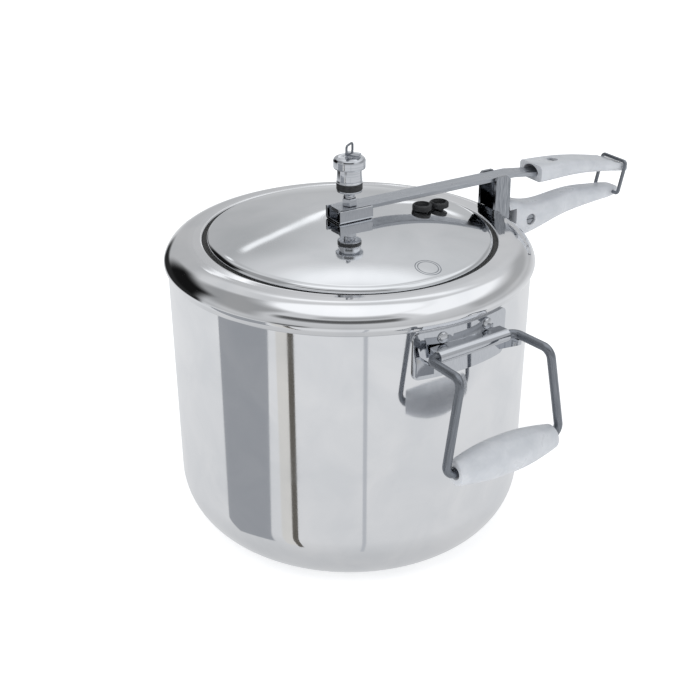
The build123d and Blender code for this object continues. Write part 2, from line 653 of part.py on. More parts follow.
with BuildPart() as weight_ring:
    with BuildSketch(Plane.XY.offset(RING_Z + SEAT)):
        Circle(9.85)
        Circle(7.4 + SEAT, mode=Mode.SUBTRACT)
    extrude(amount=BODY_Z - RING_Z - 2 * SEAT)
    fillet(weight_ring.edges().filter_by(GeomType.CIRCLE).sort_by(SortBy.RADIUS)[-2:], 0.6)
weight_ring.part.label = "weight_ring"
export_step(weight_ring.part, "parts/weight_ring.step")

with BuildPart() as weight_cap:
    with BuildSketch(Plane.XZ):
        with BuildLine():
            Polyline(
                (CAP_R - 4.0, CAP_TOP), (0, CAP_TOP), (0, CAP_Z + 4.6), (5.0 + SEAT, CAP_Z + 4.6),
                (5.0 + SEAT, CAP_Z + SEAT), (CAP_R - 0.7, CAP_Z + SEAT), (CAP_R, CAP_Z + 0.8),
                (CAP_R, CAP_TOP - 2.3),
            )
            Spline((CAP_R, CAP_TOP - 2.3), (CAP_R - 1.2, CAP_TOP - 0.7), (CAP_R - 4.0, CAP_TOP),
                   tangents=[(0, 1), (-1, 0)])
        make_face()
    revolve(axis=Axis.Z)
weight_cap.part.label = "weight_cap"
export_step(weight_cap.part, "parts/weight_cap.step")

LUG_AZ = -57.0
LUG_R = 1.9
LUG_Z = CAP_TOP + LUG_R + 0.05
RING_WIRE_D = 1.7
lug_c = math.cos(math.radians(LUG_AZ))
lug_s = math.sin(math.radians(LUG_AZ))


def lug_point(u, v, z):
    """Point at u along the lug, v across it."""
    return (u * lug_c - v * lug_s, u * lug_s + v * lug_c, z)


with BuildPart() as ring_lug:
    with BuildSketch(Plane(origin=lug_point(-2.8, 0, LUG_Z), x_dir=(-lug_s, lug_c, 0),
                           z_dir=(lug_c, lug_s, 0))):
        Circle(LUG_R)
        with Locations((0, -LUG_R / 2 - 0.01)):
            Rectangle(2.6, LUG_R)
    extrude(amount=11.6)
    with BuildSketch(Plane(origin=lug_point(0, 0, LUG_Z), x_dir=(lug_c, lug_s, 0),
                           z_dir=(-lug_s, lug_c, 0))):
        Circle(RING_WIRE_D / 2 + RUN)
    extrude(amount=5, both=True, mode=Mode.SUBTRACT)
ring_lug.part.label = "ring_lug"
export_step(ring_lug.part, "parts/ring_lug.step")

RING_HALF = 5.2
RING_H = 7.2
with BuildPart() as lift_ring:
    with BuildLine():
        hoop = FilletPolyline(
            lug_point(0, 0.15, LUG_Z), lug_point(0, RING_HALF, LUG_Z),
            lug_point(0, RING_HALF, LUG_Z + RING_H), lug_point(0, -RING_HALF, LUG_Z + RING_H),
            lug_point(0, -RING_HALF, LUG_Z), lug_point(0, -0.15, LUG_Z),
            radius=2.0,
        )
    with BuildSketch(Plane(origin=hoop @ 0, z_dir=hoop % 0)):
        Circle(RING_WIRE_D / 2)
    sweep()
lift_ring.part.label = "lift_ring"
export_step(lift_ring.part, "parts/lift_ring.step")

# ------------------------------------------------------------------ carrying bails
AXIS_R = R_SH + 5.5                 # hinge line of a bail, from the pot axis
AXIS_Z = POT_H - 36.0
WIRE_R = BAIL_WIRE_D / 2
BARREL_R = WIRE_R + RUN + 1.5
BARREL_HALF = 31.0
ELBOW_X = 38.0
REACH = 35.5                        # how far the wire stands out before it drops
DROP = 68.0                         # hinge line to grip axis
SPREAD_X = BAIL_GRIP_L / 2 + 8.0
PLATE_X = 42.5
PLATE_Z1 = POT_H - 21.4
PLATE_Z0 = POT_H - 57.0
STOP_Z = AXIS_Z - WIRE_R - 0.05

# bracket: curved plate on the wall, rolled barrel and two stop tabs
half_angle = math.degrees(math.asin(PLATE_X / (R_TOP + BAIL_PLATE_T)))
start_az = math.radians(-90 - half_angle)
plate_r0 = wall_r(PLATE_Z0) + 0.03
plate_r1 = wall_r(PLATE_Z1) + 0.03
with BuildPart() as bail_bracket:
    with BuildSketch(Plane(origin=(0, 0, 0), x_dir=(math.cos(start_az), math.sin(start_az), 0),
                           z_dir=(math.sin(start_az), -math.cos(start_az), 0))):
        with BuildLine():
            Polyline(
                (plate_r0, PLATE_Z0), (plate_r1, PLATE_Z1),
                (plate_r1 + BAIL_PLATE_T, PLATE_Z1), (plate_r0 + BAIL_PLATE_T, PLATE_Z0),
                close=True,
            )
        make_face()
    revolve(axis=Axis.Z, revolution_arc=2 * half_angle)
    with BuildSketch(Plane.XZ.offset(R_SH - 40)):
        with Locations((0, (PLATE_Z0 + PLATE_Z1) / 2)):
            RectangleRounded(2 * PLATE_X - 2.4, PLATE_Z1 - PLATE_Z0 - 0.1, 5.0)
    extrude(amount=60, mode=Mode.INTERSECT)
    root_y = -(wall_r(AXIS_Z) + 0.8)
    with BuildSketch(Plane.YZ.offset(-BARREL_HALF)):
        with Locations((-AXIS_R, AXIS_Z)):
            Circle(BARREL_R)
        with BuildLine():
            Polyline(
                (-AXIS_R, AXIS_Z + BARREL_R), (root_y, AXIS_Z + BARREL_R - 0.6),
                (root_y, AXIS_Z - BARREL_R - 1.5), (-AXIS_R, AXIS_Z - BARREL_R),
                close=True,
            )
        make_face()
    extrude(amount=2 * BARREL_HALF)
    tab_y = -(math.sqrt(R_TOP ** 2 - ELBOW_X ** 2) + 0.6)
    for x0 in (-ELBOW_X - 1.2, ELBOW_X - 1.8):
        with BuildSketch(Plane.YZ.offset(x0)):
            with BuildLine():
                Polyline(
                    (tab_y, STOP_Z), (-AXIS_R - 7.0, STOP_Z), (-AXIS_R - 7.0, STOP_Z - 4.0),
                    (tab_y, STOP_Z - 15.0),
                    close=True,
                )
            make_face()
        extrude(amount=3.0)
    with BuildSketch(Plane.YZ.offset(-BARREL_HALF - 1)):
        with Locations((-AXIS_R, AXIS_Z)):
            Circle(WIRE_R + RUN)
    extrude(amount=2 * BARREL_HALF + 2, mode=Mode.SUBTRACT)
    for step in (-bail_rivet_step, bail_rivet_step):
        with BuildSketch(radial_plane(-90 + step, R_SH + 5, BAIL_RIVET_Z)):
            Circle(RIVET_D / 2 + HOLE)
        extrude(amount=-20, mode=Mode.SUBTRACT)
    # nothing of the bracket reaches into the wall
    with BuildSketch(Plane.XZ):
        with BuildLine():
            Polyline(
                (0, PLATE_Z0 - 5), (wall_r(PLATE_Z0 - 5) + 0.02, PLATE_Z0 - 5),
                (wall_r(PLATE_Z1 + 2) + 0.02, PLATE_Z1 + 2), (0, PLATE_Z1 + 2),
                close=True,
            )
        make_face()
    revolve(axis=Axis.Z, mode=Mode.SUBTRACT)

# wire loop, half of it and its mirror image
with BuildPart() as bail_wire:
    with BuildLine():
        half = FilletPolyline(
            (0, -AXIS_R, AXIS_Z), (ELBOW_X, -AXIS_R, AXIS_Z),
            (ELBOW_X + 1.5, -AXIS_R - REACH, AXIS_Z),
            (SPREAD_X, -AXIS_R - REACH - 2.0, AXIS_Z - DROP),
            (0, -AXIS_R - REACH - 2.0, AXIS_Z - DROP),
            radius=7.0,
        )
    with BuildSketch(Plane(origin=half @ 0, z_dir=half % 0)):
        Circle(WIRE_R)
    sweep()
    mirror(about=Plane.YZ)

# spindle shaped sleeve that turns on the wire
grip_z = AXIS_Z - DROP
grip_y = -AXIS_R - REACH - 2.0
half_l = BAIL_GRIP_L / 2
grip_r = BAIL_GRIP_D / 2
with BuildPart() as bail_grip:
    with BuildSketch(Plane(origin=(0, grip_y, grip_z), x_dir=(1, 0, 0), z_dir=(0, -1, 0))):
        with BuildLine():
            bore = WIRE_R + FREE
            Spline((-half_l, 0.64 * grip_r), (-0.72 * half_l, 0.81 * grip_r),
                   (-0.35 * half_l, 0.965 * grip_r), (0, grip_r), (0.35 * half_l, 0.965 * grip_r),
                   (0.72 * half_l, 0.81 * grip_r), (half_l, 0.64 * grip_r))
            Polyline(
                (half_l, 0.64 * grip_r), (half_l, bore + 1.4), (half_l - 3.0, bore),
                (3.0 - half_l, bore), (-half_l, bore + 1.4), (-half_l, 0.64 * grip_r),
            )
        make_face()
    revolve(axis=Axis(origin=(0, grip_y, grip_z), direction=(1, 0, 0)))
    rims = [e for e in bail_grip.edges().filter_by(GeomType.CIRCLE)
            if abs(e.radius - 0.64 * grip_r) < 0.01]
    fillet(rims, 1.2)

for side, turn in (("a", 0.0), ("b", 180.0)):
    for stem, piece in (("bail_bracket", bail_bracket.part), ("bail_wire", bail_wire.part),
                        ("bail_grip", bail_grip.part)):
        placed = piece.rotate(Axis.Z, turn + BAIL_TURN)
        placed.label = f"{stem}_{side}"
        export_step(placed, f"parts/{stem}_{side}.step")
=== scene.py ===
# %% [markdown]
# # A polished pressure cooker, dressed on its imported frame
#
# The real cooker is a drawn aluminium pot with a rolled shoulder. An oval lid sits inside its
# mouth and a strip lever pulls it up against the lip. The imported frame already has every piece
# in the right place and size, so each step below makes one piece's finished surface, gives it
# a finish, and lets it ride on the body that it belongs to.

import bmesh
import bpy
import numpy as np
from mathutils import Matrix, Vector


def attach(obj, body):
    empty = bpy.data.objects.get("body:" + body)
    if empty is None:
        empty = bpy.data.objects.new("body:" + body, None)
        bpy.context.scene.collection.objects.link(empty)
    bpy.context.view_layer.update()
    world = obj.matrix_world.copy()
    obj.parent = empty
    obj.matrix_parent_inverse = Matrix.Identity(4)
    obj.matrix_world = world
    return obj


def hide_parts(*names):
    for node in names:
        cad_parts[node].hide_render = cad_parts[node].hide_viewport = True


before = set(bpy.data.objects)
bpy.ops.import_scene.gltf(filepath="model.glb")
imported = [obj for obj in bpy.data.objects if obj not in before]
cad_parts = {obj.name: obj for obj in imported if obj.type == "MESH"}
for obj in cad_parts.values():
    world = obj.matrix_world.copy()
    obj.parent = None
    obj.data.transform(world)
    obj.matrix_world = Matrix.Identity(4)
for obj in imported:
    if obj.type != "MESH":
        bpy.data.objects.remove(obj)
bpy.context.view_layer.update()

# %% [markdown]
# ## Tools for surfaces
#
# Nearly every piece here is turned, drawn, bent from wire or stamped, so two kinds of surface
# cover most of them: a section turned about a line, and a circle carried along a path. Both are
# grids of points with two parameters. They are worked out as whole arrays in millimetres and
# only become metres when the mesh is made.

# %% Grids into meshes
MM = 0.001
WELD = 2e-7          # metres, joins the seam and the pole of a grid
SHARP = 32.0         # degrees, edges steeper than this stay crisp


def unit(v):
    """Vectors divided by their own length."""
    return v / np.linalg.norm(v, axis=-1, keepdims=True)


def grid_quads(rows, cols):
    """Corner numbers of every quad in a grid whose point (i, j) has number i * cols + j."""
    i = np.arange(rows - 1)[:, None] * cols
    j = np.arange(cols - 1)[None, :]
    return np.stack([i + j, i + j + 1, i + j + 1 + cols, i + j + cols], -1).reshape(-1, 4)


def face_sense(work):
    """Turns all faces round if the closed mesh has a negative volume."""
    if work.calc_volume(signed=True) < 0:
        bmesh.ops.reverse_faces(work, faces=work.faces)


def mesh_from_grid(name, grid, sharp=SHARP):
    """Object from a (rows, cols, 3) grid in millimetres, with a UV map in metres of surface."""
    rows, cols, _ = grid.shape
    quads = grid_quads(rows, cols)
    mesh = bpy.data.meshes.new(name)
    mesh.from_pydata((grid.reshape(-1, 3) * MM).tolist(), [], quads.tolist())
    along = np.concatenate([[0], np.cumsum(np.linalg.norm(np.diff(grid, axis=0), axis=2).max(1))])
    around = np.concatenate([[0], np.cumsum(np.linalg.norm(np.diff(grid, axis=1), axis=2).max(0))])
    flat = np.stack(np.meshgrid(along, around, indexing="ij"), -1).reshape(-1, 2) * MM
    layer = mesh.uv_layers.new(name="surface")
    layer.data.foreach_set("uv", flat[quads.ravel()].astype(np.float32).ravel())
    work = bmesh.new()
    work.from_mesh(mesh)
    bmesh.ops.remove_doubles(work, verts=work.verts, dist=WELD)
    bmesh.ops.dissolve_degenerate(work, dist=WELD, edges=work.edges)
    face_sense(work)
    work.to_mesh(mesh)
    work.free()
    return smooth_object(name, mesh, sharp)


def smooth_object(name, mesh, sharp=SHARP):
    """Object at the origin, shaded smooth, with its steep edges kept crisp."""
    mesh.polygons.foreach_set("use_smooth", np.ones(len(mesh.polygons), bool))
    mesh.set_sharp_from_angle(angle=np.radians(sharp))
    mesh.update()
    made = bpy.data.objects.new(name, mesh)
    bpy.context.scene.collection.objects.link(made)
    return made


# %% Curves for sections and paths
def rounded(points, radius, steps=9):
    """Runs joined by arcs. With unit runs a and b that meet at turn t, an arc starts
    r * tan(t / 2) before the corner: P(f) = start + r * (sin f * a + (1 - cos f) * n),
    where n is square to a on the side of b, and f goes from 0 to t."""
    points = np.asarray(points, float)
    radii = np.broadcast_to(radius, len(points) - 2)
    out = [points[:1]]
    for k in range(1, len(points) - 1):
        runs = points[k] - points[k - 1], points[k + 1] - points[k]
        a, b = unit(runs[0]), unit(runs[1])
        turn = np.arccos(np.clip(a @ b, -1, 1))
        if turn < 1e-3 or radii[k - 1] <= 0:
            out.append(points[k][None])
            continue
        most = 0.49 * min(np.linalg.norm(r) for r in runs)
        r = min(radii[k - 1], most / np.tan(turn / 2))
        n = (b - a * np.cos(turn)) / np.sin(turn)
        f = np.linspace(0, turn, steps)[:, None]
        start = points[k] - a * r * np.tan(turn / 2)
        out.append(start + r * (np.sin(f) * a + (1 - np.cos(f)) * n))
    out.append(points[-1:])
    return np.vstack(out)


def through(stations, values, at):
    """Smooth curve through stations: cubic pieces whose slope at a station is that of the
    line between its two neighbours."""
    stations, values = np.asarray(stations, float), np.asarray(values, float)
    slope = np.gradient(values, stations, axis=0)
    k = np.clip(np.searchsorted(stations, at) - 1, 0, len(stations) - 2)
    h = stations[k + 1] - stations[k]
    t = ((at - stations[k]) / h).reshape(-1, *[1] * (values.ndim - 1))
    h = h.reshape(t.shape)
    return ((2 * t**3 - 3 * t**2 + 1) * values[k] + (t**3 - 2 * t**2 + t) * h * slope[k]
            + (3 * t**2 - 2 * t**3) * values[k + 1] + (t**3 - t**2) * h * slope[k + 1])


def turned(section, centre=(0, 0, 0), axis=(0, 0, 1), cols=96, turn=0.0):
    """Grid of a section of (radius, height) turned about a line:
    P(i, a) = centre + height_i * axis + radius_i * (cos a * e1 + sin a * e2)."""
    axis = unit(np.asarray(axis, float))
    e1 = unit(np.cross(axis, [0.31, 0.93, 0.2] if abs(axis[2]) < 0.9 else [0, 1, 0]))
    e2 = np.cross(axis, e1)
    a = np.linspace(0, 2 * np.pi, cols + 1) + turn
    a[-1] = a[0] + 2 * np.pi
    ring = np.cos(a)[:, None] * e1 + np.sin(a)[:, None] * e2
    section = np.asarray(section, float)
    return np.asarray(centre) + section[:, 1, None, None] * axis + section[:, 0, None, None] * ring


def carried(path, radius, cols=28, end_round=0.35):
    """Grid of a round wire along a path: P(i, a) = path_i + r * (cos a * u_i + sin a * w_i),
    where u and w are square to the path. Its two ends are closed and eased."""
    path = np.asarray(path, float)
    run = unit(np.gradient(path, axis=0))
    lead = end_round * radius
    path = np.vstack([path[:1], path[:1], path[:1] + run[:1] * lead, path[1:-1],
                      path[-1:] - run[-1:] * lead, path[-1:], path[-1:]])
    run = np.vstack([run[:1], run[:1], run[:1], run[1:-1], run[-1:], run[-1:], run[-1:]])
    size = np.full(len(path), radius)
    size[[0, -1]] = 0
    size[[1, -2]] = radius - lead
    u = unit(np.cross(run, unit(np.array([1.0, 1.0, 1.0]))))
    w = np.cross(run, u)
    a = np.linspace(0, 2 * np.pi, cols + 1)
    a[-1] = 0
    ring = np.cos(a)[None, :, None] * u[:, None] + np.sin(a)[None, :, None] * w[:, None]
    return path[:, None] + size[:, None, None] * ring


# %% [markdown]
# ## Tools for stamped pieces
#
# Brackets, nuts and the moulded handles have the right shape in the frame already, but their
# edges are knife sharp, and real metal and moulded resin never are. A copy of the frame's mesh
# is joined up, its flat regions are merged, and a fine bevel breaks the edges so that they
# catch a line of light.

# %% Copies with broken edges
FLAT = 0.25          # degrees, faces closer than this are one flat


def eased_copy(node, name, width, segments=2, sharp=SHARP):
    """Copy of a frame piece with a bevel of width millimetres on its steep edges."""
    work = bmesh.new()
    work.from_mesh(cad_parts[node].data)
    bmesh.ops.remove_doubles(work, verts=work.verts, dist=2e-6)
    bmesh.ops.dissolve_limit(work, angle_limit=np.radians(FLAT), use_dissolve_boundaries=False,
                             verts=work.verts, edges=work.edges)
    face_sense(work)
    mesh = bpy.data.meshes.new(name)
    work.to_mesh(mesh)
    work.free()
    made = smooth_object(name, mesh, sharp)
    edge = made.modifiers.new("edge", "BEVEL")
    edge.width = width * MM
    edge.segments = segments
    edge.limit_method = "ANGLE"
    edge.angle_limit = np.radians(sharp)
    edge.harden_normals = True
    return bake_modifiers(made)


def bake_modifiers(made):
    """Keeps the result of an object's modifiers as its own mesh."""
    graph = bpy.context.evaluated_depsgraph_get()
    mesh = bpy.data.meshes.new_from_object(made.evaluated_get(graph))
    made.modifiers.clear()
    old, made.data = made.data, mesh
    mesh.name = made.name
    bpy.data.meshes.remove(old)
    return made


# %% Dressing a piece
def dress(made, body, nodes, finish):
    """Gives a piece its finish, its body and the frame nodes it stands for."""
    made.data.materials.clear()
    made.data.materials.append(finish)
    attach(made, body)
    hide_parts(*nodes)
    faces = sum(len(p.vertices) - 2 for p in made.data.polygons)
    print(f"{made.name}: {faces} triangles")
    return made


# %% [markdown]
# ## Tools for finishes
#
# A colour is picked as the eye sees it on a screen, so its hex value is turned to linear light
# first. One helper adds a node with its settings and its links. Patterns read the object's own
# coordinates in metres, and their scale is one over the size of the mark on the real piece.

# %% Colours and nodes
def linear(code):
    """Linear RGBA of an sRGB hex colour: c / 12.92 below 0.04045, ((c + 0.055) / 1.055) ** 2.4
    above it."""
    c = np.array([int(code[k:k + 2], 16) for k in (1, 3, 5)]) / 255
    return (*np.where(c <= 0.04045, c / 12.92, ((c + 0.055) / 1.055) ** 2.4), 1.0)


def add(tree, kind, settings=None, links=None):
    """Adds a node. A setting is an input's value or a property, and a link is an output."""
    made = tree.nodes.new(kind)
    for key, value in (settings or {}).items():
        if isinstance(key, int) or key in made.inputs:
            made.inputs[key].default_value = value
        else:
            setattr(made, key, value)
    for key, source in (links or {}).items():
        tree.links.new(source, made.inputs[key])
    return made


def finish_base(name, **surface):
    """New material with a Principled surface. Returns material, tree and shader."""
    made = bpy.data.materials.new(name)
    made.use_nodes = True
    tree = made.node_tree
    tree.nodes.clear()
    shader = add(tree, "ShaderNodeBsdfPrincipled", surface)
    add(tree, "ShaderNodeOutputMaterial", links={"Surface": shader.outputs[0]})
    return made, tree, shader


def blend_colours(tree, factor, low, high, start=0.35, end=0.65):
    """Colour output that goes from low to high as factor goes from start to end."""
    ramp = add(tree, "ShaderNodeValToRGB", links={"Fac": factor})
    ramp.color_ramp.elements[0].position = start
    ramp.color_ramp.elements[0].color = linear(low)
    ramp.color_ramp.elements[1].position = end
    ramp.color_ramp.elements[1].color = linear(high)
    return ramp.outputs["Color"]


def spread(tree, factor, low, high, start=0.3, end=0.7):
    """Number output that goes from low to high as factor goes from start to end."""
    return add(tree, "ShaderNodeMapRange", {"From Min": start, "From Max": end, "To Min": low,
                                            "To Max": high}, {"Value": factor}).outputs[0]


def lathe_coordinates(tree, centre=(0.0, 0.0)):
    """(distance from the axis, height, a little of the angle) of each point, so that a noise
    pattern is drawn out into rings as a buffing wheel leaves them."""
    where = add(tree, "ShaderNodeTexCoord").outputs["Object"]
    moved = add(tree, "ShaderNodeMapping", {"Location": (-centre[0], -centre[1], 0)},
                {"Vector": where}).outputs[0]
    flat = add(tree, "ShaderNodeVectorMath", {"operation": "MULTIPLY", 1: (1, 1, 0)}, {0: moved})
    reach = add(tree, "ShaderNodeVectorMath", {"operation": "LENGTH"}, {0: flat.outputs[0]})
    parts = add(tree, "ShaderNodeSeparateXYZ", links={0: moved})
    small = add(tree, "ShaderNodeMath", {"operation": "MULTIPLY", 1: 0.02}, {0: parts.outputs[0]})
    return add(tree, "ShaderNodeCombineXYZ", links={0: reach.outputs["Value"],
                                                    1: parts.outputs[2],
                                                    2: small.outputs[0]}).outputs[0]


# %% [markdown]
# ## Metal finishes
#
# The pot and lid are pure soft aluminium, spun and then buffed on a wheel with a cutting paste
# until they mirror the room. Up close that mirror is made of rings a few tenths of a
# millimetre apart, and handling leaves soft cloudy patches that only change how sharp the
# mirror is. Steel parts are either drawn, with lines along them, or pressed and plated.

# %% Buffed aluminium
RING_PITCH = 0.0009      # metres; real rings are 0.2 mm apart, drawn coarser so that they show
CLOUD = 0.045            # metres, size of a handling cloud


def buffed(name, light, dark, rough, ring_depth):
    """Mirror buffed aluminium with fine rings and clouds in its gloss."""
    made, tree, shader = finish_base(name, Metallic=1.0)
    rings = lathe_coordinates(tree)
    where = add(tree, "ShaderNodeTexCoord").outputs["Object"]
    fine = add(tree, "ShaderNodeTexNoise", {"Scale": 1 / RING_PITCH, "Detail": 2.0},
               {"Vector": rings}).outputs[0]
    cloud = add(tree, "ShaderNodeTexNoise", {"Scale": 1 / CLOUD, "Detail": 4.0,
                                             "Distortion": 0.6}, {"Vector": where}).outputs[0]
    tree.links.new(blend_colours(tree, cloud, dark, light), shader.inputs["Base Color"])
    tree.links.new(spread(tree, cloud, rough * 1.5, rough * 0.7), shader.inputs["Roughness"])
    bump = add(tree, "ShaderNodeBump", {"Strength": ring_depth, "Distance": 0.00002},
               {"Height": fine})
    tree.links.new(bump.outputs[0], shader.inputs["Normal"])
    return made


POT_METAL = buffed("buffed_spun_aluminium_pot", "#EFEFF0", "#E6E7E9", 0.055, 0.25)


# %% Lid with a plain stamped ring
STAMP_AT = (0.006, -0.0945)   # metres, centre of the plain stamped ring
STAMP_R = 0.0092
STAMP_LINE = 0.0007

LID_METAL = buffed("buffed_spun_aluminium_lid", "#E7E8EA", "#DDDFE1", 0.05, 0.3)


def sink_ring_with_painted_shade(material, centre, radius, line):
    """Sinks two thin circles, at the radius and at 0.8 of it, and darkens them as painted shade in
    the
    stamped groove: 1 where the distance to the centre is within half a line of a circle's radius."""
    tree = material.node_tree
    shader = next(n for n in tree.nodes if n.type == "BSDF_PRINCIPLED")
    old_colour = shader.inputs["Base Color"].links[0].from_socket
    old_normal = shader.inputs["Normal"].links[0].from_socket
    where = add(tree, "ShaderNodeTexCoord").outputs["Object"]
    moved = add(tree, "ShaderNodeMapping", {"Location": (-centre[0], -centre[1], 0)},
                {"Vector": where}).outputs[0]
    flat = add(tree, "ShaderNodeVectorMath", {"operation": "MULTIPLY", 1: (1, 1, 0)}, {0: moved})
    reach = add(tree, "ShaderNodeVectorMath", {"operation": "LENGTH"},
                {0: flat.outputs[0]}).outputs["Value"]
    groove_and_painted_shade = None
    for ring in (radius, radius * 0.8):
        off = add(tree, "ShaderNodeMath", {"operation": "SUBTRACT", 1: ring}, {0: reach})
        gap = add(tree, "ShaderNodeMath", {"operation": "ABSOLUTE"}, {0: off.outputs[0]})
        near = spread(tree, gap.outputs[0], 1.0, 0.0, line * 0.3, line * 0.7)
        if groove_and_painted_shade is None:
            groove_and_painted_shade = near
        else:
            groove_and_painted_shade = add(tree, "ShaderNodeMath", {"operation": "MAXIMUM"},
                        {0: groove_and_painted_shade, 1: near}).outputs[0]
    # Painted shade: the groove's colour is pulled towards a #8C9096 grey to stand in for the shade
    # inside the stamped ring
    painted_shade_colour = add(tree, "ShaderNodeMix", {"data_type": "RGBA", 7: linear("#8C9096")},
                {0: groove_and_painted_shade, 6: old_colour})
    tree.links.new(painted_shade_colour.outputs[2], shader.inputs["Base Color"])
    sunk = add(tree, "ShaderNodeBump", {"Strength": 0.6, "Distance": 0.0001, "invert": True},
               {"Height": groove_and_painted_shade, "Normal": old_normal})
    tree.links.new(sunk.outputs[0], shader.inputs["Normal"])


sink_ring_with_painted_shade(LID_METAL, STAMP_AT, STAMP_R, STAMP_LINE)


# %% Drawn, pressed and turned steel
GRAIN = 0.0006           # metres, spacing of drawing lines; drawn coarser so that they show


def grained(name, light, dark, rough, stretch, depth=0.4, metallic=1.0, read="Object"):
    """Metal whose lines run along the axis with the small number in stretch."""
    made, tree, shader = finish_base(name, Metallic=metallic)
    where = add(tree, "ShaderNodeTexCoord").outputs[read]
    drawn = add(tree, "ShaderNodeMapping", {"Scale": stretch}, {"Vector": where}).outputs[0]
    lines = add(tree, "ShaderNodeTexNoise", {"Scale": 1 / GRAIN, "Detail": 3.0},
                {"Vector": drawn}).outputs[0]
    blotch = add(tree, "ShaderNodeTexNoise", {"Scale": 160.0, "Detail": 3.0},
                 {"Vector": where}).outputs[0]
    tree.links.new(blend_colours(tree, lines, dark, light, 0.25, 0.75),
                   shader.inputs["Base Color"])
    tree.links.new(spread(tree, blotch, rough * 0.8, rough * 1.25), shader.inputs["Roughness"])
    bump = add(tree, "ShaderNodeBump", {"Strength": depth, "Distance": 0.00003},
               {"Height": lines})
    tree.links.new(bump.outputs[0], shader.inputs["Normal"])
    return made


LEVER_STEEL = grained("rolled_stainless_strip", "#C3C6CB", "#ABAFB5", 0.32, (0.03, 1, 1))
WIRE_STEEL = grained("drawn_zinc_plated_wire", "#9A9EA4", "#74787F", 0.30, (0.03, 1, 1),
                     read="UV")
PRESSED_STEEL = grained("pressed_bright_nickel_steel", "#CFD1D5", "#C2C5CA", 0.06, (1, 1, 0.15),
                        0.06)
UPRIGHT_STEEL = grained("drawn_bright_nickel_steel", "#B9BCC1", "#7C8086", 0.10,
                        (1, 1, 0.06), 0.5)
SCREW_STEEL = grained("turned_zinc_steel", "#B4B7BC", "#8F9399", 0.28, (1, 1, 1))
RIVET_METAL = grained("headed_aluminium_rivet", "#D9DADD", "#C2C5C9", 0.16, (1, 1, 1), 0.5)


# %% Chrome on the weight
def chromed(name):
    """Bright chrome on turned brass: almost a mirror, with faint tool rings."""
    made, tree, shader = finish_base(name, Metallic=1.0)
    rings = lathe_coordinates(tree)
    fine = add(tree, "ShaderNodeTexNoise", {"Scale": 1600.0, "Detail": 1.0},
               {"Vector": rings}).outputs[0]
    tree.links.new(blend_colours(tree, fine, "#C9CCD1", "#DADCE0", 0.3, 0.7),
                   shader.inputs["Base Color"])
    tree.links.new(spread(tree, fine, 0.05, 0.11), shader.inputs["Roughness"])
    bump = add(tree, "ShaderNodeBump", {"Strength": 0.15, "Distance": 0.00002},
               {"Height": fine})
    tree.links.new(bump.outputs[0], shader.inputs["Normal"])
    return made


CHROME = chromed("turned_chromed_brass")


# %% [markdown]
# ## Resin and rubber
#
# The handles are pressed from a pale pearly resin. Its filler leaves soft flow marks a
# centimetre or two long and the press leaves a smooth, slightly waxy skin. The band, plugs and
# washer are black rubber with a fine matt grain.

# %% Pearly resin and black rubber
FLOW = 0.014             # metres, length of a flow mark


def pearly(name):
    """Pressed resin with pale flow marks under a smooth skin."""
    made, tree, shader = finish_base(name, **{
        "Coat Weight": 0.35, "Coat Roughness": 0.12, "IOR": 1.5,
        "Subsurface Weight": 0.12, "Subsurface Scale": 0.002,
        "Subsurface Radius": (1.0, 0.9, 0.8)})
    where = add(tree, "ShaderNodeTexCoord").outputs["Object"]
    bend = add(tree, "ShaderNodeTexNoise", {"Scale": 1 / FLOW, "Detail": 2.0},
               {"Vector": where})
    pulled = add(tree, "ShaderNodeVectorMath", {"operation": "MULTIPLY_ADD",
                                                1: (0.02, 0.02, 0.02)},
                 {0: bend.outputs["Color"], 2: where}).outputs[0]
    flow = add(tree, "ShaderNodeTexNoise", {"Scale": 0.9 / FLOW, "Detail": 5.0,
                                            "Roughness": 0.6}, {"Vector": pulled}).outputs[0]
    grain = add(tree, "ShaderNodeTexNoise", {"Scale": 1400.0, "Detail": 2.0},
                {"Vector": where}).outputs[0]
    tree.links.new(blend_colours(tree, flow, "#C0C3C8", "#CED0D4", 0.34, 0.66),
                   shader.inputs["Base Color"])
    tree.links.new(spread(tree, flow, 0.36, 0.26), shader.inputs["Roughness"])
    bump = add(tree, "ShaderNodeBump", {"Strength": 0.12, "Distance": 0.00005},
               {"Height": grain})
    tree.links.new(bump.outputs[0], shader.inputs["Normal"])
    return made


def rubber(name, light, dark, rough):
    """Moulded rubber with a fine matt grain and paler, dusty patches."""
    made, tree, shader = finish_base(name, **{"IOR": 1.52})
    where = add(tree, "ShaderNodeTexCoord").outputs["Object"]
    dust = add(tree, "ShaderNodeTexNoise", {"Scale": 260.0, "Detail": 4.0},
               {"Vector": where}).outputs[0]
    grain = add(tree, "ShaderNodeTexNoise", {"Scale": 2200.0, "Detail": 2.0},
                {"Vector": where}).outputs[0]
    tree.links.new(blend_colours(tree, dust, dark, light), shader.inputs["Base Color"])
    tree.links.new(spread(tree, dust, rough, rough * 1.3), shader.inputs["Roughness"])
    bump = add(tree, "ShaderNodeBump", {"Strength": 0.3, "Distance": 0.00006},
               {"Height": grain})
    tree.links.new(bump.outputs[0], shader.inputs["Normal"])
    return made


RESIN = pearly("pressed_pearl_resin")
BLACK_RUBBER = rubber("moulded_black_rubber", "#2E2F31", "#1B1C1D", 0.38)
# The gasket's dark grey is partly the rubber's own colour and partly painted shade for the groove
# under the lid where it sits
GREY_RUBBER_AND_GROOVE_SHADE = rubber("moulded_grey_rubber_and_groove_shade", "#3E3E3D", "#30302F", 0.55)

# %% [markdown]
# ## The pot
#
# The pot is drawn from one disc: a flat base, a wide corner, a slightly flared wall and a
# shoulder that is rolled over and in to make the lip. The lip ends in an oval hole. Turning a
# section gives all of it except the oval, so the inner part of the lip slides from a circle to
# an ellipse as it nears its edge, which one formula does for every angle at once.

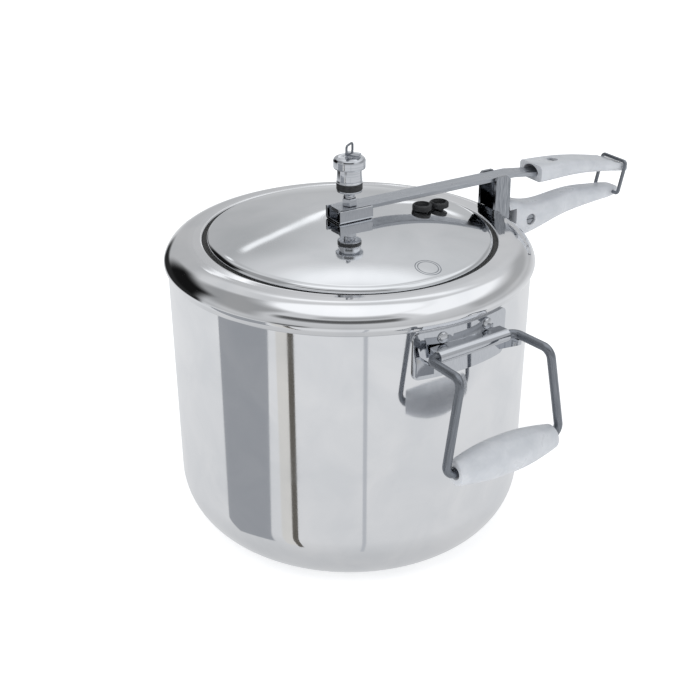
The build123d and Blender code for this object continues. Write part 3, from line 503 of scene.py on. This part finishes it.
# %% Pot surface
SHOULDER_R = 140.0
TOP = 237.0              # height of the shoulder
SHEET = 3.0
CORNER = 50.0
WALL_TOP_R, WALL_LOW_R = SHOULDER_R - 2.8, SHOULDER_R - 5.2
WALL_TOP_Z = TOP - 20.5
OPEN_A, OPEN_B = SHOULDER_R - 30.0, SHOULDER_R - 26.0
FLAT_LIP_R = SHOULDER_R - 22.0
LIP_ROUND = 1.3
SHOULDER = np.array([[-1.5, -19.3], [0.0, -15.2], [-2.5, -8.5], [-8.6, -3.1], [-16.0, -0.5],
                     [-22.0, 0.0]]) + [SHOULDER_R, TOP]
SHOULDER_OUT = np.array([[0.95, -0.3], [1.0, 0.05], [0.86, 0.5], [0.55, 0.83], [0.2, 0.98],
                         [0.0, 1.0]])


def wall_r(z):
    """Radius of the outer wall, which flares in a straight line from the corner up."""
    return WALL_LOW_R + (WALL_TOP_R - WALL_LOW_R) * (z - CORNER) / (WALL_TOP_Z - CORNER)


def shoulder_curve(inset, count):
    """The rolled shoulder as count points, moved in by inset."""
    knots = SHOULDER - SHOULDER_OUT * inset
    gone = np.concatenate([[0], np.cumsum(np.linalg.norm(np.diff(knots, axis=0), axis=1))])
    curve = through(gone, knots, np.linspace(0, gone[-1], count))
    return np.column_stack([np.minimum(curve[:, 0], SHOULDER_R), np.minimum(curve[:, 1], TOP)])


def quarter(centre, radius, start, stop, count):
    """Arc of a section from angle start to angle stop, in degrees."""
    f = np.radians(np.linspace(start, stop, count))
    return np.column_stack([centre[0] + radius * np.cos(f), centre[1] + radius * np.sin(f)])


def oval_r(a, b, angle):
    """Radius of an ellipse with half sizes a and b at each angle."""
    return a * b / np.hypot(b * np.cos(angle), a * np.sin(angle))


def pot_grid(cols=420):
    """Section rows (radius, height, share of oval, offset); the radius at angle f is
    (1 - share) * radius + share * (oval radius at f) + offset."""
    low_c = (WALL_LOW_R - CORNER, CORNER)
    outer = np.vstack([
        [[0, 0]], [[40, 0]], quarter(low_c, CORNER, -90, 0, 34),
        np.column_stack([np.linspace(WALL_LOW_R, WALL_TOP_R, 24),
                         np.linspace(CORNER, WALL_TOP_Z, 24)])[1:],
        shoulder_curve(0, 56)])
    inner = np.vstack([
        shoulder_curve(SHEET, 24)[::-1],
        [[WALL_TOP_R - SHEET, WALL_TOP_Z - 1]], [[WALL_LOW_R - SHEET, CORNER]],
        quarter(low_c, CORNER - SHEET, 0, -90, 24)[1:], [[0, SHEET]]])
    share = np.array([0.12, 0.3, 0.55, 0.8, 1.0])
    edge = quarter((LIP_ROUND, TOP - LIP_ROUND), LIP_ROUND, 90, 180, 8)[1:]
    lip_out = np.column_stack([np.full(5, FLAT_LIP_R), np.full(5, TOP), share,
                               LIP_ROUND * share])
    lip_edge = np.column_stack([np.zeros(7), edge[:, 1], np.ones(7), edge[:, 0]])
    lip_in = np.column_stack([np.full(5, FLAT_LIP_R), np.full(5, TOP - SHEET), share[::-1],
                              np.zeros(5)])
    plain = np.zeros((len(outer), 2)), np.zeros((len(inner), 2))
    rows = np.vstack([np.hstack([outer, plain[0]]), lip_out, lip_edge, lip_in,
                      np.hstack([inner, plain[1]])])
    angle = np.linspace(0, 2 * np.pi, cols + 1)
    angle[-1] = 0
    oval = oval_r(OPEN_A, OPEN_B, angle)[None, :]
    r, z, s, off = (rows[:, k, None] for k in range(4))
    reach = (1 - s) * r + s * oval + off * np.where(s > 0, 1, 0)
    return np.stack([reach * np.cos(angle), reach * np.sin(angle),
                     np.broadcast_to(z, reach.shape)], -1)


pot = dress(mesh_from_grid("pot", pot_grid()), "pot", ["pot_body"], POT_METAL)

# %% [markdown]
# ## The lid
#
# The lid is a shallow oval dish, crown up. Its crown is a dome, its rim turns down through a
# rolled edge, and under the lip it turns out again into the flange that presses the gasket.
# Every row of the section is a share of the oval's radius, so the same one surface is round in
# the middle and oval at the rim.

# %% Lid surface
LID_TOP = TOP + 13.0
EDGE_Z = TOP + 2.4
DOME_GAP = 3.2
DOME_A, DOME_B = OPEN_A - DOME_GAP, OPEN_B - DOME_GAP
LID_T = 2.5
EDGE_R = 4.2
FLAT_R = 18.0
FLANGE_Z = TOP - SHEET - 3.04
FLANGE_T = 2.2


def crown_z(r):
    """Height of the dome: flat to FLAT_R, then falling with the square of the distance."""
    fall = (LID_TOP - EDGE_Z) * ((r - FLAT_R) / (DOME_B - 4.5 - FLAT_R)) ** 2
    return LID_TOP - np.where(r > FLAT_R, fall, 0.0)


def lid_grid(cols=360):
    """Rows of the dish from the crown's middle over the rolled edge to the flange and back
    inside. Each row has a share of the oval, an offset from it and a height or a dome height."""
    angle = np.linspace(0, 2 * np.pi, cols + 1)
    angle[-1] = 0
    oval = oval_r(DOME_A, DOME_B, angle)[None, :]
    flange = oval_r(OPEN_A + 3.6, OPEN_B + 4.0, angle)[None, :]
    share = np.linspace(0, 1, 54)[:, None] ** 0.9
    crown_r = share * (oval - EDGE_R)
    crown = crown_r, crown_z(crown_r)
    f = np.radians(np.linspace(90, 0, 12))[1:, None]
    foot = crown_z(oval - EDGE_R) - EDGE_R
    rolled = oval - EDGE_R + EDGE_R * np.cos(f), foot + EDGE_R * np.sin(f)
    side_z = np.array([FLANGE_Z + 0.8, FLANGE_Z + 0.2, FLANGE_Z])[:, None]
    side = oval + np.array([0, 0.15, 0.8])[:, None], np.broadcast_to(side_z, (3, cols + 1))
    rim_off = np.array([-0.3, 0, 0, -0.3])[:, None]
    rim_z = FLANGE_Z + np.array([0, -0.3, 0.3 - FLANGE_T, -FLANGE_T])[:, None]
    rim = flange + rim_off, np.broadcast_to(rim_z, (4, cols + 1))
    wall_z = np.array([-FLANGE_T, 0.0])[:, None] + FLANGE_Z
    wall = np.broadcast_to(oval - LID_T, (2, cols + 1)), np.broadcast_to(wall_z, (2, cols + 1))
    under_r = np.linspace(1, 0, 26)[:, None] * (oval - LID_T - 1.5)
    under = under_r, crown_z(under_r) - LID_T
    r = np.vstack([crown[0], rolled[0], side[0], rim[0], wall[0], under[0]])
    z = np.vstack([crown[1], rolled[1], side[1], rim[1], wall[1], under[1]])
    return np.stack([r * np.cos(angle), r * np.sin(angle), z], -1)


lid = dress(mesh_from_grid("lid_dish", lid_grid()), "lid_set", ["lid"],
            LID_METAL)

# %% [markdown]
# ## Turned pieces on the lid
#
# The vent tube is a turned pin with a thread below the weight, and the weight is turned from
# bar and chromed, in two pieces with a black rubber band between its foot and its body. The
# thread is real geometry: its radius rises and falls with height and angle together.

# %% Vent tube with its thread
TUBE_R = 4.5
THREAD_PITCH = 1.25
BAR_Z = TOP + 20.5
TUBE_TOP = LID_TOP + 34.0


def threaded(grid, low, high, depth, pitch):
    """Sinks a helical thread into a turned grid between two heights: the depth is a rounded
    triangle of z / pitch - angle / (2 pi)."""
    z = grid[..., 2]
    turn = np.arctan2(grid[..., 1], grid[..., 0]) / (2 * np.pi)
    phase = (z / pitch - turn) % 1.0
    cut = depth * (1 - np.abs(2 * phase - 1)) ** 0.8
    fade = np.clip(np.minimum(z - low, high - z) / 0.8, 0, 1)
    reach = np.hypot(grid[..., 0], grid[..., 1])
    scale = np.where(reach > TUBE_R - 0.5, 1 - cut * fade / np.maximum(reach, 1e-6), 1.0)
    out = grid.copy()
    out[..., :2] *= scale[..., None]
    return out


tube_side = np.column_stack([np.full(150, TUBE_R), np.linspace(LID_TOP - 12.4, TUBE_TOP - 8, 150)])
tube_rows = np.vstack([[[1.6, LID_TOP - 13.0]], [[TUBE_R - 0.6, LID_TOP - 13.0]], tube_side,
                       [[TUBE_R, TUBE_TOP - 2.0]], [[TUBE_R - 2.2, TUBE_TOP]], [[1.6, TUBE_TOP]],
                       [[1.6, LID_TOP - 13.0]]])
tube = threaded(turned(tube_rows, cols=64), BAR_Z + 1, LID_TOP + 33.0, 0.35, THREAD_PITCH)
dress(mesh_from_grid("vent_pin", tube), "lid_set", ["vent_tube"], CHROME)

# %% Regulator weight
W0 = LID_TOP + 21.7
BAND_Z0, BAND_Z1 = W0 + 1.6, W0 + 6.7
CAP_Z = W0 + 18.0
CAP_TOP = CAP_Z + 8.6
CAP_R = 12.1


foot = rounded([(4.55, BAND_Z0 + 2), (4.55, W0), (9.6, W0), (9.6, BAND_Z0), (7.4, BAND_Z0),
                (7.4, BAND_Z1), (9.8, BAND_Z1), (9.72, BAND_Z1 + 1.2), (9.42, BAND_Z1 + 1.5),
                (9.38, BAND_Z1 + 2.0), (9.66, BAND_Z1 + 2.3), (9.1, CAP_Z - 0.5), (8.6, CAP_Z),
                (5.0, CAP_Z), (5.0, CAP_Z + 4.5), (0, CAP_Z + 4.5)],
               [0.3, 0.5, 0.3, 0.2, 0.2, 0.35, 0.25, 0.2, 0.2, 0.25, 0.3, 0.3, 0.1, 0.2], 5)
foot = np.vstack([[[0, TUBE_TOP + 0.05]], [[2.3, TUBE_TOP + 0.05]], [[4.55, TUBE_TOP - 1.95]],
                  foot])
dress(mesh_from_grid("weight_core", turned(foot, cols=128)), "weight", ["weight_body"],
      CHROME)

band = rounded([(7.42, BAND_Z0 + 0.03), (9.85, BAND_Z0 + 0.03), (9.85, BAND_Z0 + 1.9),
                (9.6, BAND_Z0 + 2.5), (9.85, BAND_Z0 + 3.1), (9.85, BAND_Z1 - 0.03),
                (7.42, BAND_Z1 - 0.03), (7.42, BAND_Z0 + 0.03)],
               [0.5, 0.4, 0.4, 0.4, 0.5, 0.1], 5)
dress(mesh_from_grid("weight_band", turned(band, cols=112)), "weight", ["weight_ring"],
      BLACK_RUBBER)

cap = rounded([(5.02, CAP_Z + 4.6), (5.02, CAP_Z + 0.02), (CAP_R - 0.3, CAP_Z + 0.02),
               (CAP_R, CAP_Z + 0.9), (CAP_R, CAP_TOP - 2.6), (CAP_R - 0.9, CAP_TOP - 0.9),
               (CAP_R - 3.6, CAP_TOP - 0.05), (4.4, CAP_TOP), (4.1, CAP_TOP - 0.35),
               (3.8, CAP_TOP), (0, CAP_TOP)],
              [0.1, 0.6, 0.5, 1.4, 1.6, 2.0, 0.1, 0.1, 0.1], 7)
cap = np.vstack([[[0, CAP_Z + 4.6]], cap])
dress(mesh_from_grid("weight_head", turned(cap, cols=144)), "weight", ["weight_cap"],
      CHROME)

# %% Lug and ring on the weight
LUG_AZ = np.radians(-57.0)
LUG_U = np.array([np.cos(LUG_AZ), np.sin(LUG_AZ), 0])
LUG_V = np.array([-np.sin(LUG_AZ), np.cos(LUG_AZ), 0])
LUG_Z = CAP_TOP + 1.95
RING_WIRE = 0.85
HOOP_HALF, HOOP_H = 5.2, 7.2

hoop_corners = np.array([(0.15, 0), (HOOP_HALF, 0), (HOOP_HALF, HOOP_H), (-HOOP_HALF, HOOP_H),
                         (-HOOP_HALF, 0), (-0.15, 0)])
hoop = rounded(hoop_corners[:, :1] * LUG_V + hoop_corners[:, 1:] * [0, 0, 1] + [0, 0, LUG_Z],
               2.0, 12)
dress(mesh_from_grid("lift_hoop", carried(hoop, RING_WIRE, 20)), "ring", ["lift_ring"],
      WIRE_STEEL)
dress(eased_copy("ring_lug", "hoop_lug", 0.25), "weight", ["ring_lug"], CHROME)

# %% Safety plugs
PLUG_R, PLUG_HOLE = 7.6, 4.0
for number, (px, py) in enumerate(((78.0, -6.0), (60.0, -9.0)), start=1):
    reach = float(np.hypot(px, py))
    seat = float(crown_z(np.array(reach - PLUG_R))) + 0.25
    low = float(crown_z(np.array(reach + PLUG_R))) - LID_T - 0.5
    plug = rounded([(0, low - 2.5), (PLUG_HOLE + 1.5, low - 2.5), (PLUG_HOLE + 2.2, low),
                    (PLUG_HOLE, low), (PLUG_HOLE, seat), (PLUG_R, seat),
                    (PLUG_R, seat + 3.4), (PLUG_R - 1.0, seat + 4.2),
                    (PLUG_R - 2.2, seat + 4.2), (PLUG_R - 3.0, seat + 1.9),
                    (3.2, seat + 1.6), (2.6, seat + 2.3), (1.4, seat + 2.4), (0, seat + 2.4)],
                   [0.5, 0.3, 0.2, 0.3, 0.5, 0.8, 0.6, 0.6, 0.5, 0.4, 0.4, 0.3], 5)
    dress(mesh_from_grid(f"fusible_plug_{number}", turned(plug, (px, py, 0), cols=80)),
          "lid_set", [f"safety_plug_{number}"], BLACK_RUBBER)

# %% [markdown]
# ## Wires and sleeves of the bails
#
# Each bail is one length of drawn wire, bent at four corners, whose ends meet inside the
# barrel. Its path is runs joined by arcs, and a circle is carried along it. The sleeve is
# turned to a spindle, with a fine seam on each side where the two halves of its mould met.

# %% Bail wires
BAIL_TURN = np.radians(3.5)
HINGE_R, HINGE_Z = SHOULDER_R + 5.5, TOP - 36.0
WIRE_R = 3.15
ELBOW, REACH, DROP = 38.0, 35.5, 68.0
GRIP_L, GRIP_R = 88.0, 14.0
SPREAD = GRIP_L / 2 + 8.0


def about_z(points, angle):
    """Points turned about the pot's axis."""
    c, s = np.cos(angle), np.sin(angle)
    return points @ np.array([[c, s, 0], [-s, c, 0], [0, 0, 1]])


half = np.array([(0, -HINGE_R, HINGE_Z), (ELBOW, -HINGE_R, HINGE_Z),
                 (ELBOW + 1.5, -HINGE_R - REACH, HINGE_Z),
                 (SPREAD, -HINGE_R - REACH - 2.0, HINGE_Z - DROP),
                 (0, -HINGE_R - REACH - 2.0, HINGE_Z - DROP)])
left = half[1:-1] * [-1, 1, 1]
bail_loop = rounded(np.vstack([half[:1] + [0.2, 0, 0], half[1:-1], left[::-1],
                               half[:1] - [0.2, 0, 0]]), 7.0, 16)
for side, turn in (("a", 0.0), ("b", np.pi)):
    wire = carried(about_z(bail_loop, BAIL_TURN + turn), WIRE_R, 40)
    dress(mesh_from_grid(f"bail_loop_{side}", wire), f"bail_{side}", [f"bail_wire_{side}"],
          WIRE_STEEL)

# %% Turning sleeves
BORE = WIRE_R + 0.35
SEAM_H, SEAM_W = 0.12, 0.05      # millimetres proud, radians wide


def sleeve_grid(cols=144):
    """Spindle turned about its own X axis. The mould seam adds SEAM_H * exp(-(d / SEAM_W)^2)
    to the radius at angle distance d from each side."""
    at = np.linspace(-1, 1, 49)
    skin = through([-1, -0.72, -0.35, 0, 0.35, 0.72, 1],
                   np.array([0.64, 0.81, 0.965, 1, 0.965, 0.81, 0.64]) * GRIP_R, at)
    h = GRIP_L / 2
    end = rounded([(BORE, -h + 3.0), (BORE + 1.4, -h), (skin[0], -h), (skin[1], at[1] * h)],
                  [0.6, 1.3], 7)
    body = np.column_stack([skin, at * h])[2:-2]
    rows = np.vstack([end, body, (end * [1, -1])[::-1], end[:1]])
    grid = turned(rows, axis=(1, 0, 0), cols=cols)
    angle = np.arctan2(grid[..., 2], grid[..., 1])
    away = np.minimum(np.abs(np.abs(angle) - np.pi / 2), np.pi)
    proud = SEAM_H * np.exp(-(away / SEAM_W) ** 2) * (rows[:, 0] > BORE + 3)[:, None]
    fit = 1 - SEAM_H / GRIP_R
    reach = np.hypot(grid[..., 1], grid[..., 2])
    grid[..., 1:] *= (fit + proud / np.maximum(reach, 1e-6))[..., None]
    return grid


sleeve = sleeve_grid()
for side, turn in (("a", 0.0), ("b", np.pi)):
    seat = np.array([0, -HINGE_R - REACH - 2.0, HINGE_Z - DROP])
    placed = about_z(sleeve.reshape(-1, 3) + seat, BAIL_TURN + turn).reshape(sleeve.shape)
    dress(mesh_from_grid(f"bail_sleeve_{side}", placed), f"sleeve_{side}",
          [f"bail_grip_{side}"], RESIN)

# %% Latch wire
PIVOT = np.array([SHOULDER_R + 117.0, 0, TOP - 11.0])
LEG_Y = 14.0
LATCH_R = 1.5
cross = PIVOT + [6.5, 0, 26.3]
side_y = np.array([0, LEG_Y, 0])
latch_path = rounded([PIVOT - [0, 2.5, 0], PIVOT - side_y, cross - side_y, cross + side_y,
                      PIVOT + side_y, PIVOT + [0, 2.5, 0]], 2.6, 12)
dress(mesh_from_grid("latch_loop", carried(latch_path, LATCH_R, 28)), "latch", ["latch_wire"],
      WIRE_STEEL)

# %% Rivets
RIVET_R, HEAD_R, HEAD_H = 1.85, 4.2, 2.3
RIVET_Z = TOP - 27.4
rivet_step = np.degrees(np.arcsin(19.5 / WALL_TOP_R))
for side, middle in (("a", -90.0), ("b", 90.0)):
    for number, step in ((1, -rivet_step), (2, rivet_step)):
        azimuth = np.radians(middle + np.degrees(BAIL_TURN) + step)
        seat = wall_r(RIVET_Z) + 1.65
        tail = wall_r(RIVET_Z) - SHEET - 0.15
        rise = np.linspace(0, 1, 12)
        dome = np.column_stack([HEAD_R * np.cos(rise * np.pi / 2),
                                seat + 0.35 + (HEAD_H - 0.35) * np.sin(rise * np.pi / 2)])
        rows = np.vstack([[[0, tail - 1.6]], [[HEAD_R - 1.0, tail - 1.6]],
                          [[HEAD_R - 0.6, tail - 0.2]], [[HEAD_R - 0.6, tail]],
                          [[RIVET_R, tail]], [[RIVET_R, seat]], [[HEAD_R, seat]], dome])
        outward = np.array([np.cos(azimuth), np.sin(azimuth), 0])
        grid = turned(rows, [0, 0, RIVET_Z], outward, 48)
        name = f"bail_rivet_{side}{number}"
        dress(mesh_from_grid(name + "_headed", grid), "pot", [name],
              RIVET_METAL)

# %% [markdown]
# ## Stamped and moulded pieces
#
# These keep the frame's shape and only get their edges broken, by the amount that the real
# process leaves: a press leaves about a third of a millimetre, a resin mould about one.

# %% Brackets, strip, cradle, handles and screws
STAMPED = [
    # node, name, body, slot, bevel in mm, finish
    ("handle_bracket", "upright_bracket", "pot", "bracket_steel", 0.35, UPRIGHT_STEEL),
    ("lid_cradle", "lever_cradle", "lid_set", "bracket_steel", 0.3, PRESSED_STEEL),
    ("bail_bracket_a", "bail_barrel_a", "pot", "bracket_steel", 0.3, PRESSED_STEEL),
    ("bail_bracket_b", "bail_barrel_b", "pot", "bracket_steel", 0.3, PRESSED_STEEL),
    ("lever_bar", "lever_strip", "lever", "lever_steel", 0.45, LEVER_STEEL),
    ("upper_grip", "upper_handle", "lever", "handle_white", 0.9, RESIN),
    ("lower_handle", "fixed_handle", "pot", "handle_white", 0.9, RESIN),
    ("bar_nut", "lever_nut", "lid_set", "weight_chrome", 0.25, CHROME),
    ("grip_screw", "upper_handle_screw", "lever", "screw_steel", 0.2, SCREW_STEEL),
    ("handle_screw", "fixed_handle_screw", "pot", "screw_steel", 0.2, SCREW_STEEL),
    ("cradle_bush", "lever_bush", "lid_set", "screw_steel", 0.25, SCREW_STEEL),
    ("vent_nut", "vent_lock_nut", "lid_set", "screw_steel", 0.3, SCREW_STEEL),
]
for node, name, body, slot, width, finish in STAMPED:
    dress(eased_copy(node, name, width), body, [node], finish)

# %% Pieces that stay as the frame made them
for node, finish in (("lid_gasket", GREY_RUBBER_AND_GROOVE_SHADE), ("vent_washer", BLACK_RUBBER),
                     ("grip_nut", SCREW_STEEL), ("handle_nut", SCREW_STEEL),
                     ("bracket_rivet_1", RIVET_METAL), ("bracket_rivet_2", RIVET_METAL)):
    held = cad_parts[node]
    held.data.materials.clear()
    held.data.materials.append(finish)

# %% [markdown]
# ## Studio
#
# A mirror shows its room, so the room matters as much as the metal. The room is a pale tent
# with a few plain cards standing in it: a grey one, a narrow dark one, and bright strips. The
# cards are pieces of a sphere round the pot, each given by its angles as seen from the pot.
# They glow with their own tone and only the metal sees them, so what they give is painted
# reflection in the metal.

# %% Floor, tent and cards
CAMERA_AZIMUTH = 238.0           # degrees, direction from the pot to the camera
FLOOR_R = 7.0                    # metres
CARD_R = 3.0                     # metres


def flat_finish(name, code, glow):
    """Plain emitting surface for a studio card."""
    made = bpy.data.materials.new(name)
    made.use_nodes = True
    tree = made.node_tree
    tree.nodes.clear()
    lamp = add(tree, "ShaderNodeEmission", {"Color": linear(code), "Strength": glow})
    add(tree, "ShaderNodeOutputMaterial", links={"Surface": lamp.outputs[0]})
    made.cycles.emission_sampling = "NONE"
    return made


def sphere_card(name, az, el, code, glow=1.0, low_az=None):
    """Piece of a sphere round the pot between two azimuths, measured from the camera's, and
    two elevations, in degrees. low_az gives the azimuths along the bottom if they differ."""
    share = np.linspace(0, 1, 24)
    top, bottom = np.array(az, float), np.array(low_az or az, float)
    ends = bottom + (top - bottom) * share[:, None]
    a = np.radians(CAMERA_AZIMUTH + ends[:, :1] + (ends[:, 1:] - ends[:, :1]) * share).T
    e = np.radians(np.linspace(*el, 24))[None, :] * np.ones_like(a)
    grid = np.stack([np.cos(e) * np.cos(a), np.cos(e) * np.sin(a), np.sin(e)], -1) * CARD_R / MM
    grid[..., 2] += 120.0
    made = mesh_from_grid(name, grid)
    made.data.materials.append(flat_finish(name + "_paint", code, glow))
    made.visible_camera = False
    made.visible_diffuse = False
    made.visible_shadow = False
    made.visible_transmission = False
    return made


CARDS = [
    # name, azimuths from the camera, elevations, colour, glow, azimuths along the bottom
    ("card_grey", (-87, -47), (-46, -9), "#9FA2A7", 1.0, (-89, -56)),
    ("card_cream", (-45.5, -38), (-46, -9), "#DAD9D6", 1.0, None),
    ("card_dark_strip", (-38, -34), (-49, -9), "#625F5A", 1.0, None),
    ("card_thin_strip", (8.5, 11), (-52, -9), "#BDC0C5", 1.0, None),
]
for row in CARDS:
    sphere_card(*row)

# %% [markdown]
# The tent itself is a sphere of cloth with soft light and dark areas, as a real one has where
# lamps shine through it and where its dark opening is. The sphere glows with its paint and only
# the metal sees it, so the paint is painted reflection: the tone that the metal shows in each
# direction. Its paint is a formula of azimuth and elevation: a grey that changes with elevation,
# then soft-edged patches laid over it in turn, and a bright streak of painted highlight.

# %% Tent lining
LINING_R = 3.3                   # metres
MIRROR = 0.83                    # share of light that the buffed aluminium gives back
LINING_EL = [-90, -60, -42, -24, -8, 4, 12, 26, 38, 50, 62, 68, 90]
LINING_TONE = [188, 192, 200, 213, 205, 178, 185, 190, 203, 200, 198, 246, 250]
PATCHES = [
    # azimuth from, to, its soft edge; elevation from, to, its soft edge; tone that the metal shows
    (150, 196, 16, 45, 53, 7, 246),      # lamp behind and above the pot
    (188, 225, 14, 6, 36, 10, 174),      # cloth in half shadow, behind on the left
    (232, 302, 16, 20, 62, 14, 150),     # cloth in shadow on the left
    (222, 262, 14, -6, 32, 14, 20),      # dark opening on the left
    (205, 264, 8, -12, 4, 8, 38),        # its sill, which runs on behind the pot
    (50, 138, 12, 37, 66, 9, 242),       # broad lamp on the right
    (78, 152, 12, 14, 30, 10, 162),      # shadow under that lamp
    (-48, 34, 14, 33, 43, 8, 84),        # dark frame over the camera
    (-24, 34, 14, 48, 60, 8, 164),       # cloth above that frame
    (-44, -24, 10, -5, 7, 8, 96),        # stand beside the camera
]
# Painted highlight: directions of a thin bright streak painted into the lining, which the lid
# mirrors as a highlight
PAINTED_HIGHLIGHT_AZ = [168, 173, 176, 181, 184, 187, 191, 197]
PAINTED_HIGHLIGHT_EL = [13.8, 10.2, 13.3, 20.5, 22.6, 25.5, 28.8, 32.2]


def smooth_step(x):
    """0 below 0, 1 above 1 and 3 x^2 - 2 x^3 between."""
    x = np.clip(x, 0, 1)
    return x * x * (3 - 2 * x)


def soft_patch(at, low, high, edge):
    """1 between low and high, falling to 0 over a soft edge at each end."""
    return smooth_step((at - low) / edge + 0.5) * smooth_step((high - at) / edge + 0.5)


def lining_tone(az, el):
    """Tone from 0 to 255 that the metal shows where it mirrors this direction."""
    tone = np.interp(el, LINING_EL, LINING_TONE)
    for a0, a1, a_soft, e0, e1, e_soft, value in PATCHES:
        middle = (a0 + a1) / 2
        turned_az = (az - middle + 180) % 360 - 180 + middle
        share = soft_patch(turned_az, a0, a1, a_soft) * soft_patch(el, e0, e1, e_soft)
        tone = tone + (value - tone) * share
    # Painted highlight: the tone rises to 254 within about a degree and a half of the streak's
    # directions
    off = np.abs(el - np.interp(az % 360, PAINTED_HIGHLIGHT_AZ, PAINTED_HIGHLIGHT_EL))
    painted_highlight = soft_patch(az % 360, PAINTED_HIGHLIGHT_AZ[0], PAINTED_HIGHLIGHT_AZ[-1], 2.0) * smooth_step(1.5 - off)
    return tone + (254 - tone) * painted_highlight


def tent_lining(rows=540, cols=720):
    """Sphere round the pot whose paint attribute holds lining_tone in linear light."""
    el = np.linspace(-90, 90, rows)[:, None] + np.zeros(cols + 1)
    az = np.linspace(0, 360, cols + 1) + np.zeros((rows, 1))
    a, e = np.radians(az + CAMERA_AZIMUTH), np.radians(el)
    grid = np.stack([np.cos(e) * np.cos(a), np.cos(e) * np.sin(a), np.sin(e)], -1)
    grid[:, -1] = grid[:, 0]
    grid[[0, -1], :, :2] = 0
    grid = grid * LINING_R / MM + [0, 0, 120.0]
    made = mesh_from_grid("tent_lining", grid)
    spot = np.empty(len(made.data.vertices) * 3)
    made.data.vertices.foreach_get("co", spot)
    spot = spot.reshape(-1, 3) - [0, 0, 0.12]
    at_el = np.degrees(np.arcsin(np.clip(spot[:, 2] / LINING_R, -1, 1)))
    at_az = np.degrees(np.arctan2(spot[:, 1], spot[:, 0])) - CAMERA_AZIMUTH
    c = lining_tone(at_az, at_el) / 255
    light = np.where(c <= 0.04045, c / 12.92, ((c + 0.055) / 1.055) ** 2.4) / MIRROR
    paint = made.data.color_attributes.new("paint", "FLOAT_COLOR", "POINT")
    paint.data.foreach_set("color", (light[:, None] * [0.985, 1.0, 1.02, 0] + [0, 0, 0, 1]).ravel())
    cloth = flat_finish("painted_tent_cloth", "#FFFFFF", 1.0)
    lamp = next(n for n in cloth.node_tree.nodes if n.type == "EMISSION")
    held = add(cloth.node_tree, "ShaderNodeAttribute", {"attribute_name": "paint"})
    cloth.node_tree.links.new(held.outputs["Color"], lamp.inputs["Color"])
    made.data.materials.append(cloth)
    made.visible_camera = False
    made.visible_diffuse = False
    made.visible_shadow = False
    made.visible_transmission = False
    made.visible_volume_scatter = False
    print("lining tones", round(float(c.min() * 255)), round(float(c.max() * 255)))
    return made


tent_lining()

floor_rows = np.array([[0.0, 0.0], [0.5, 0.0], [2.0, 0.0], [FLOOR_R, 0.0]]) / MM
floor = mesh_from_grid("floor", turned(floor_rows, cols=64))
floor_paint, floor_tree, floor_shader = finish_base(
    "matt_white_floor", **{"Base Color": linear("#FAFAFA"), "Roughness": 0.9,
                           "Emission Color": (1, 1, 1, 1), "Emission Strength": 0.45})
floor.data.materials.append(floor_paint)
floor.visible_glossy = False
floor.location.z = -0.0003

world = bpy.data.worlds.new("pale_tent")
bpy.context.scene.world = world
world.use_nodes = True
tent = world.node_tree
tent.nodes.clear()
sky = add(tent, "ShaderNodeBackground", {"Color": (0.86, 0.88, 0.9, 1), "Strength": 0.85})
backdrop = add(tent, "ShaderNodeBackground", {"Color": (1, 1, 1, 1), "Strength": 1.0})
seen = add(tent, "ShaderNodeLightPath").outputs["Is Camera Ray"]
both = add(tent, "ShaderNodeMixShader", links={0: seen, 1: sky.outputs[0], 2: backdrop.outputs[0]})
add(tent, "ShaderNodeOutputWorld", links={"Surface": both.outputs[0]})


def soft_box(name, place, power, size):
    """Square area lamp, aimed at the middle of the pot."""
    lamp = bpy.data.lights.new(name, "AREA")
    lamp.energy = power
    lamp.size = size
    holder = bpy.data.objects.new(name, lamp)
    bpy.context.scene.collection.objects.link(holder)
    holder.location = place
    holder.visible_glossy = False        # the cards, not the lamps, show in the metal
    holder.rotation_mode = "QUATERNION"
    holder.rotation_quaternion = (Vector((0, 0, 0.12)) - holder.location).to_track_quat("-Z", "Y")
    return holder


soft_box("key", (-1.5, -0.9, 1.9), 11, 1.2)
soft_box("fill", (1.2, -1.6, 1.2), 3, 1.4)

# %% Camera
LENS = 68.8                      # millimetres on a 36 mm sensor
EYE = Vector((-0.5007, -0.8020, 0.6012))
LOOK = Vector((0.4763, 0.7622, -0.4384))
lens = bpy.data.cameras.new("camera")
lens.lens = LENS
lens.sensor_width = 36.0
eye = bpy.data.objects.new("camera", lens)
bpy.context.scene.collection.objects.link(eye)
eye.location = EYE
eye.rotation_mode = "QUATERNION"
eye.rotation_quaternion = LOOK.to_track_quat("-Z", "Y")
bpy.context.scene.camera = eye
bpy.context.scene.view_settings.view_transform = "Standard"
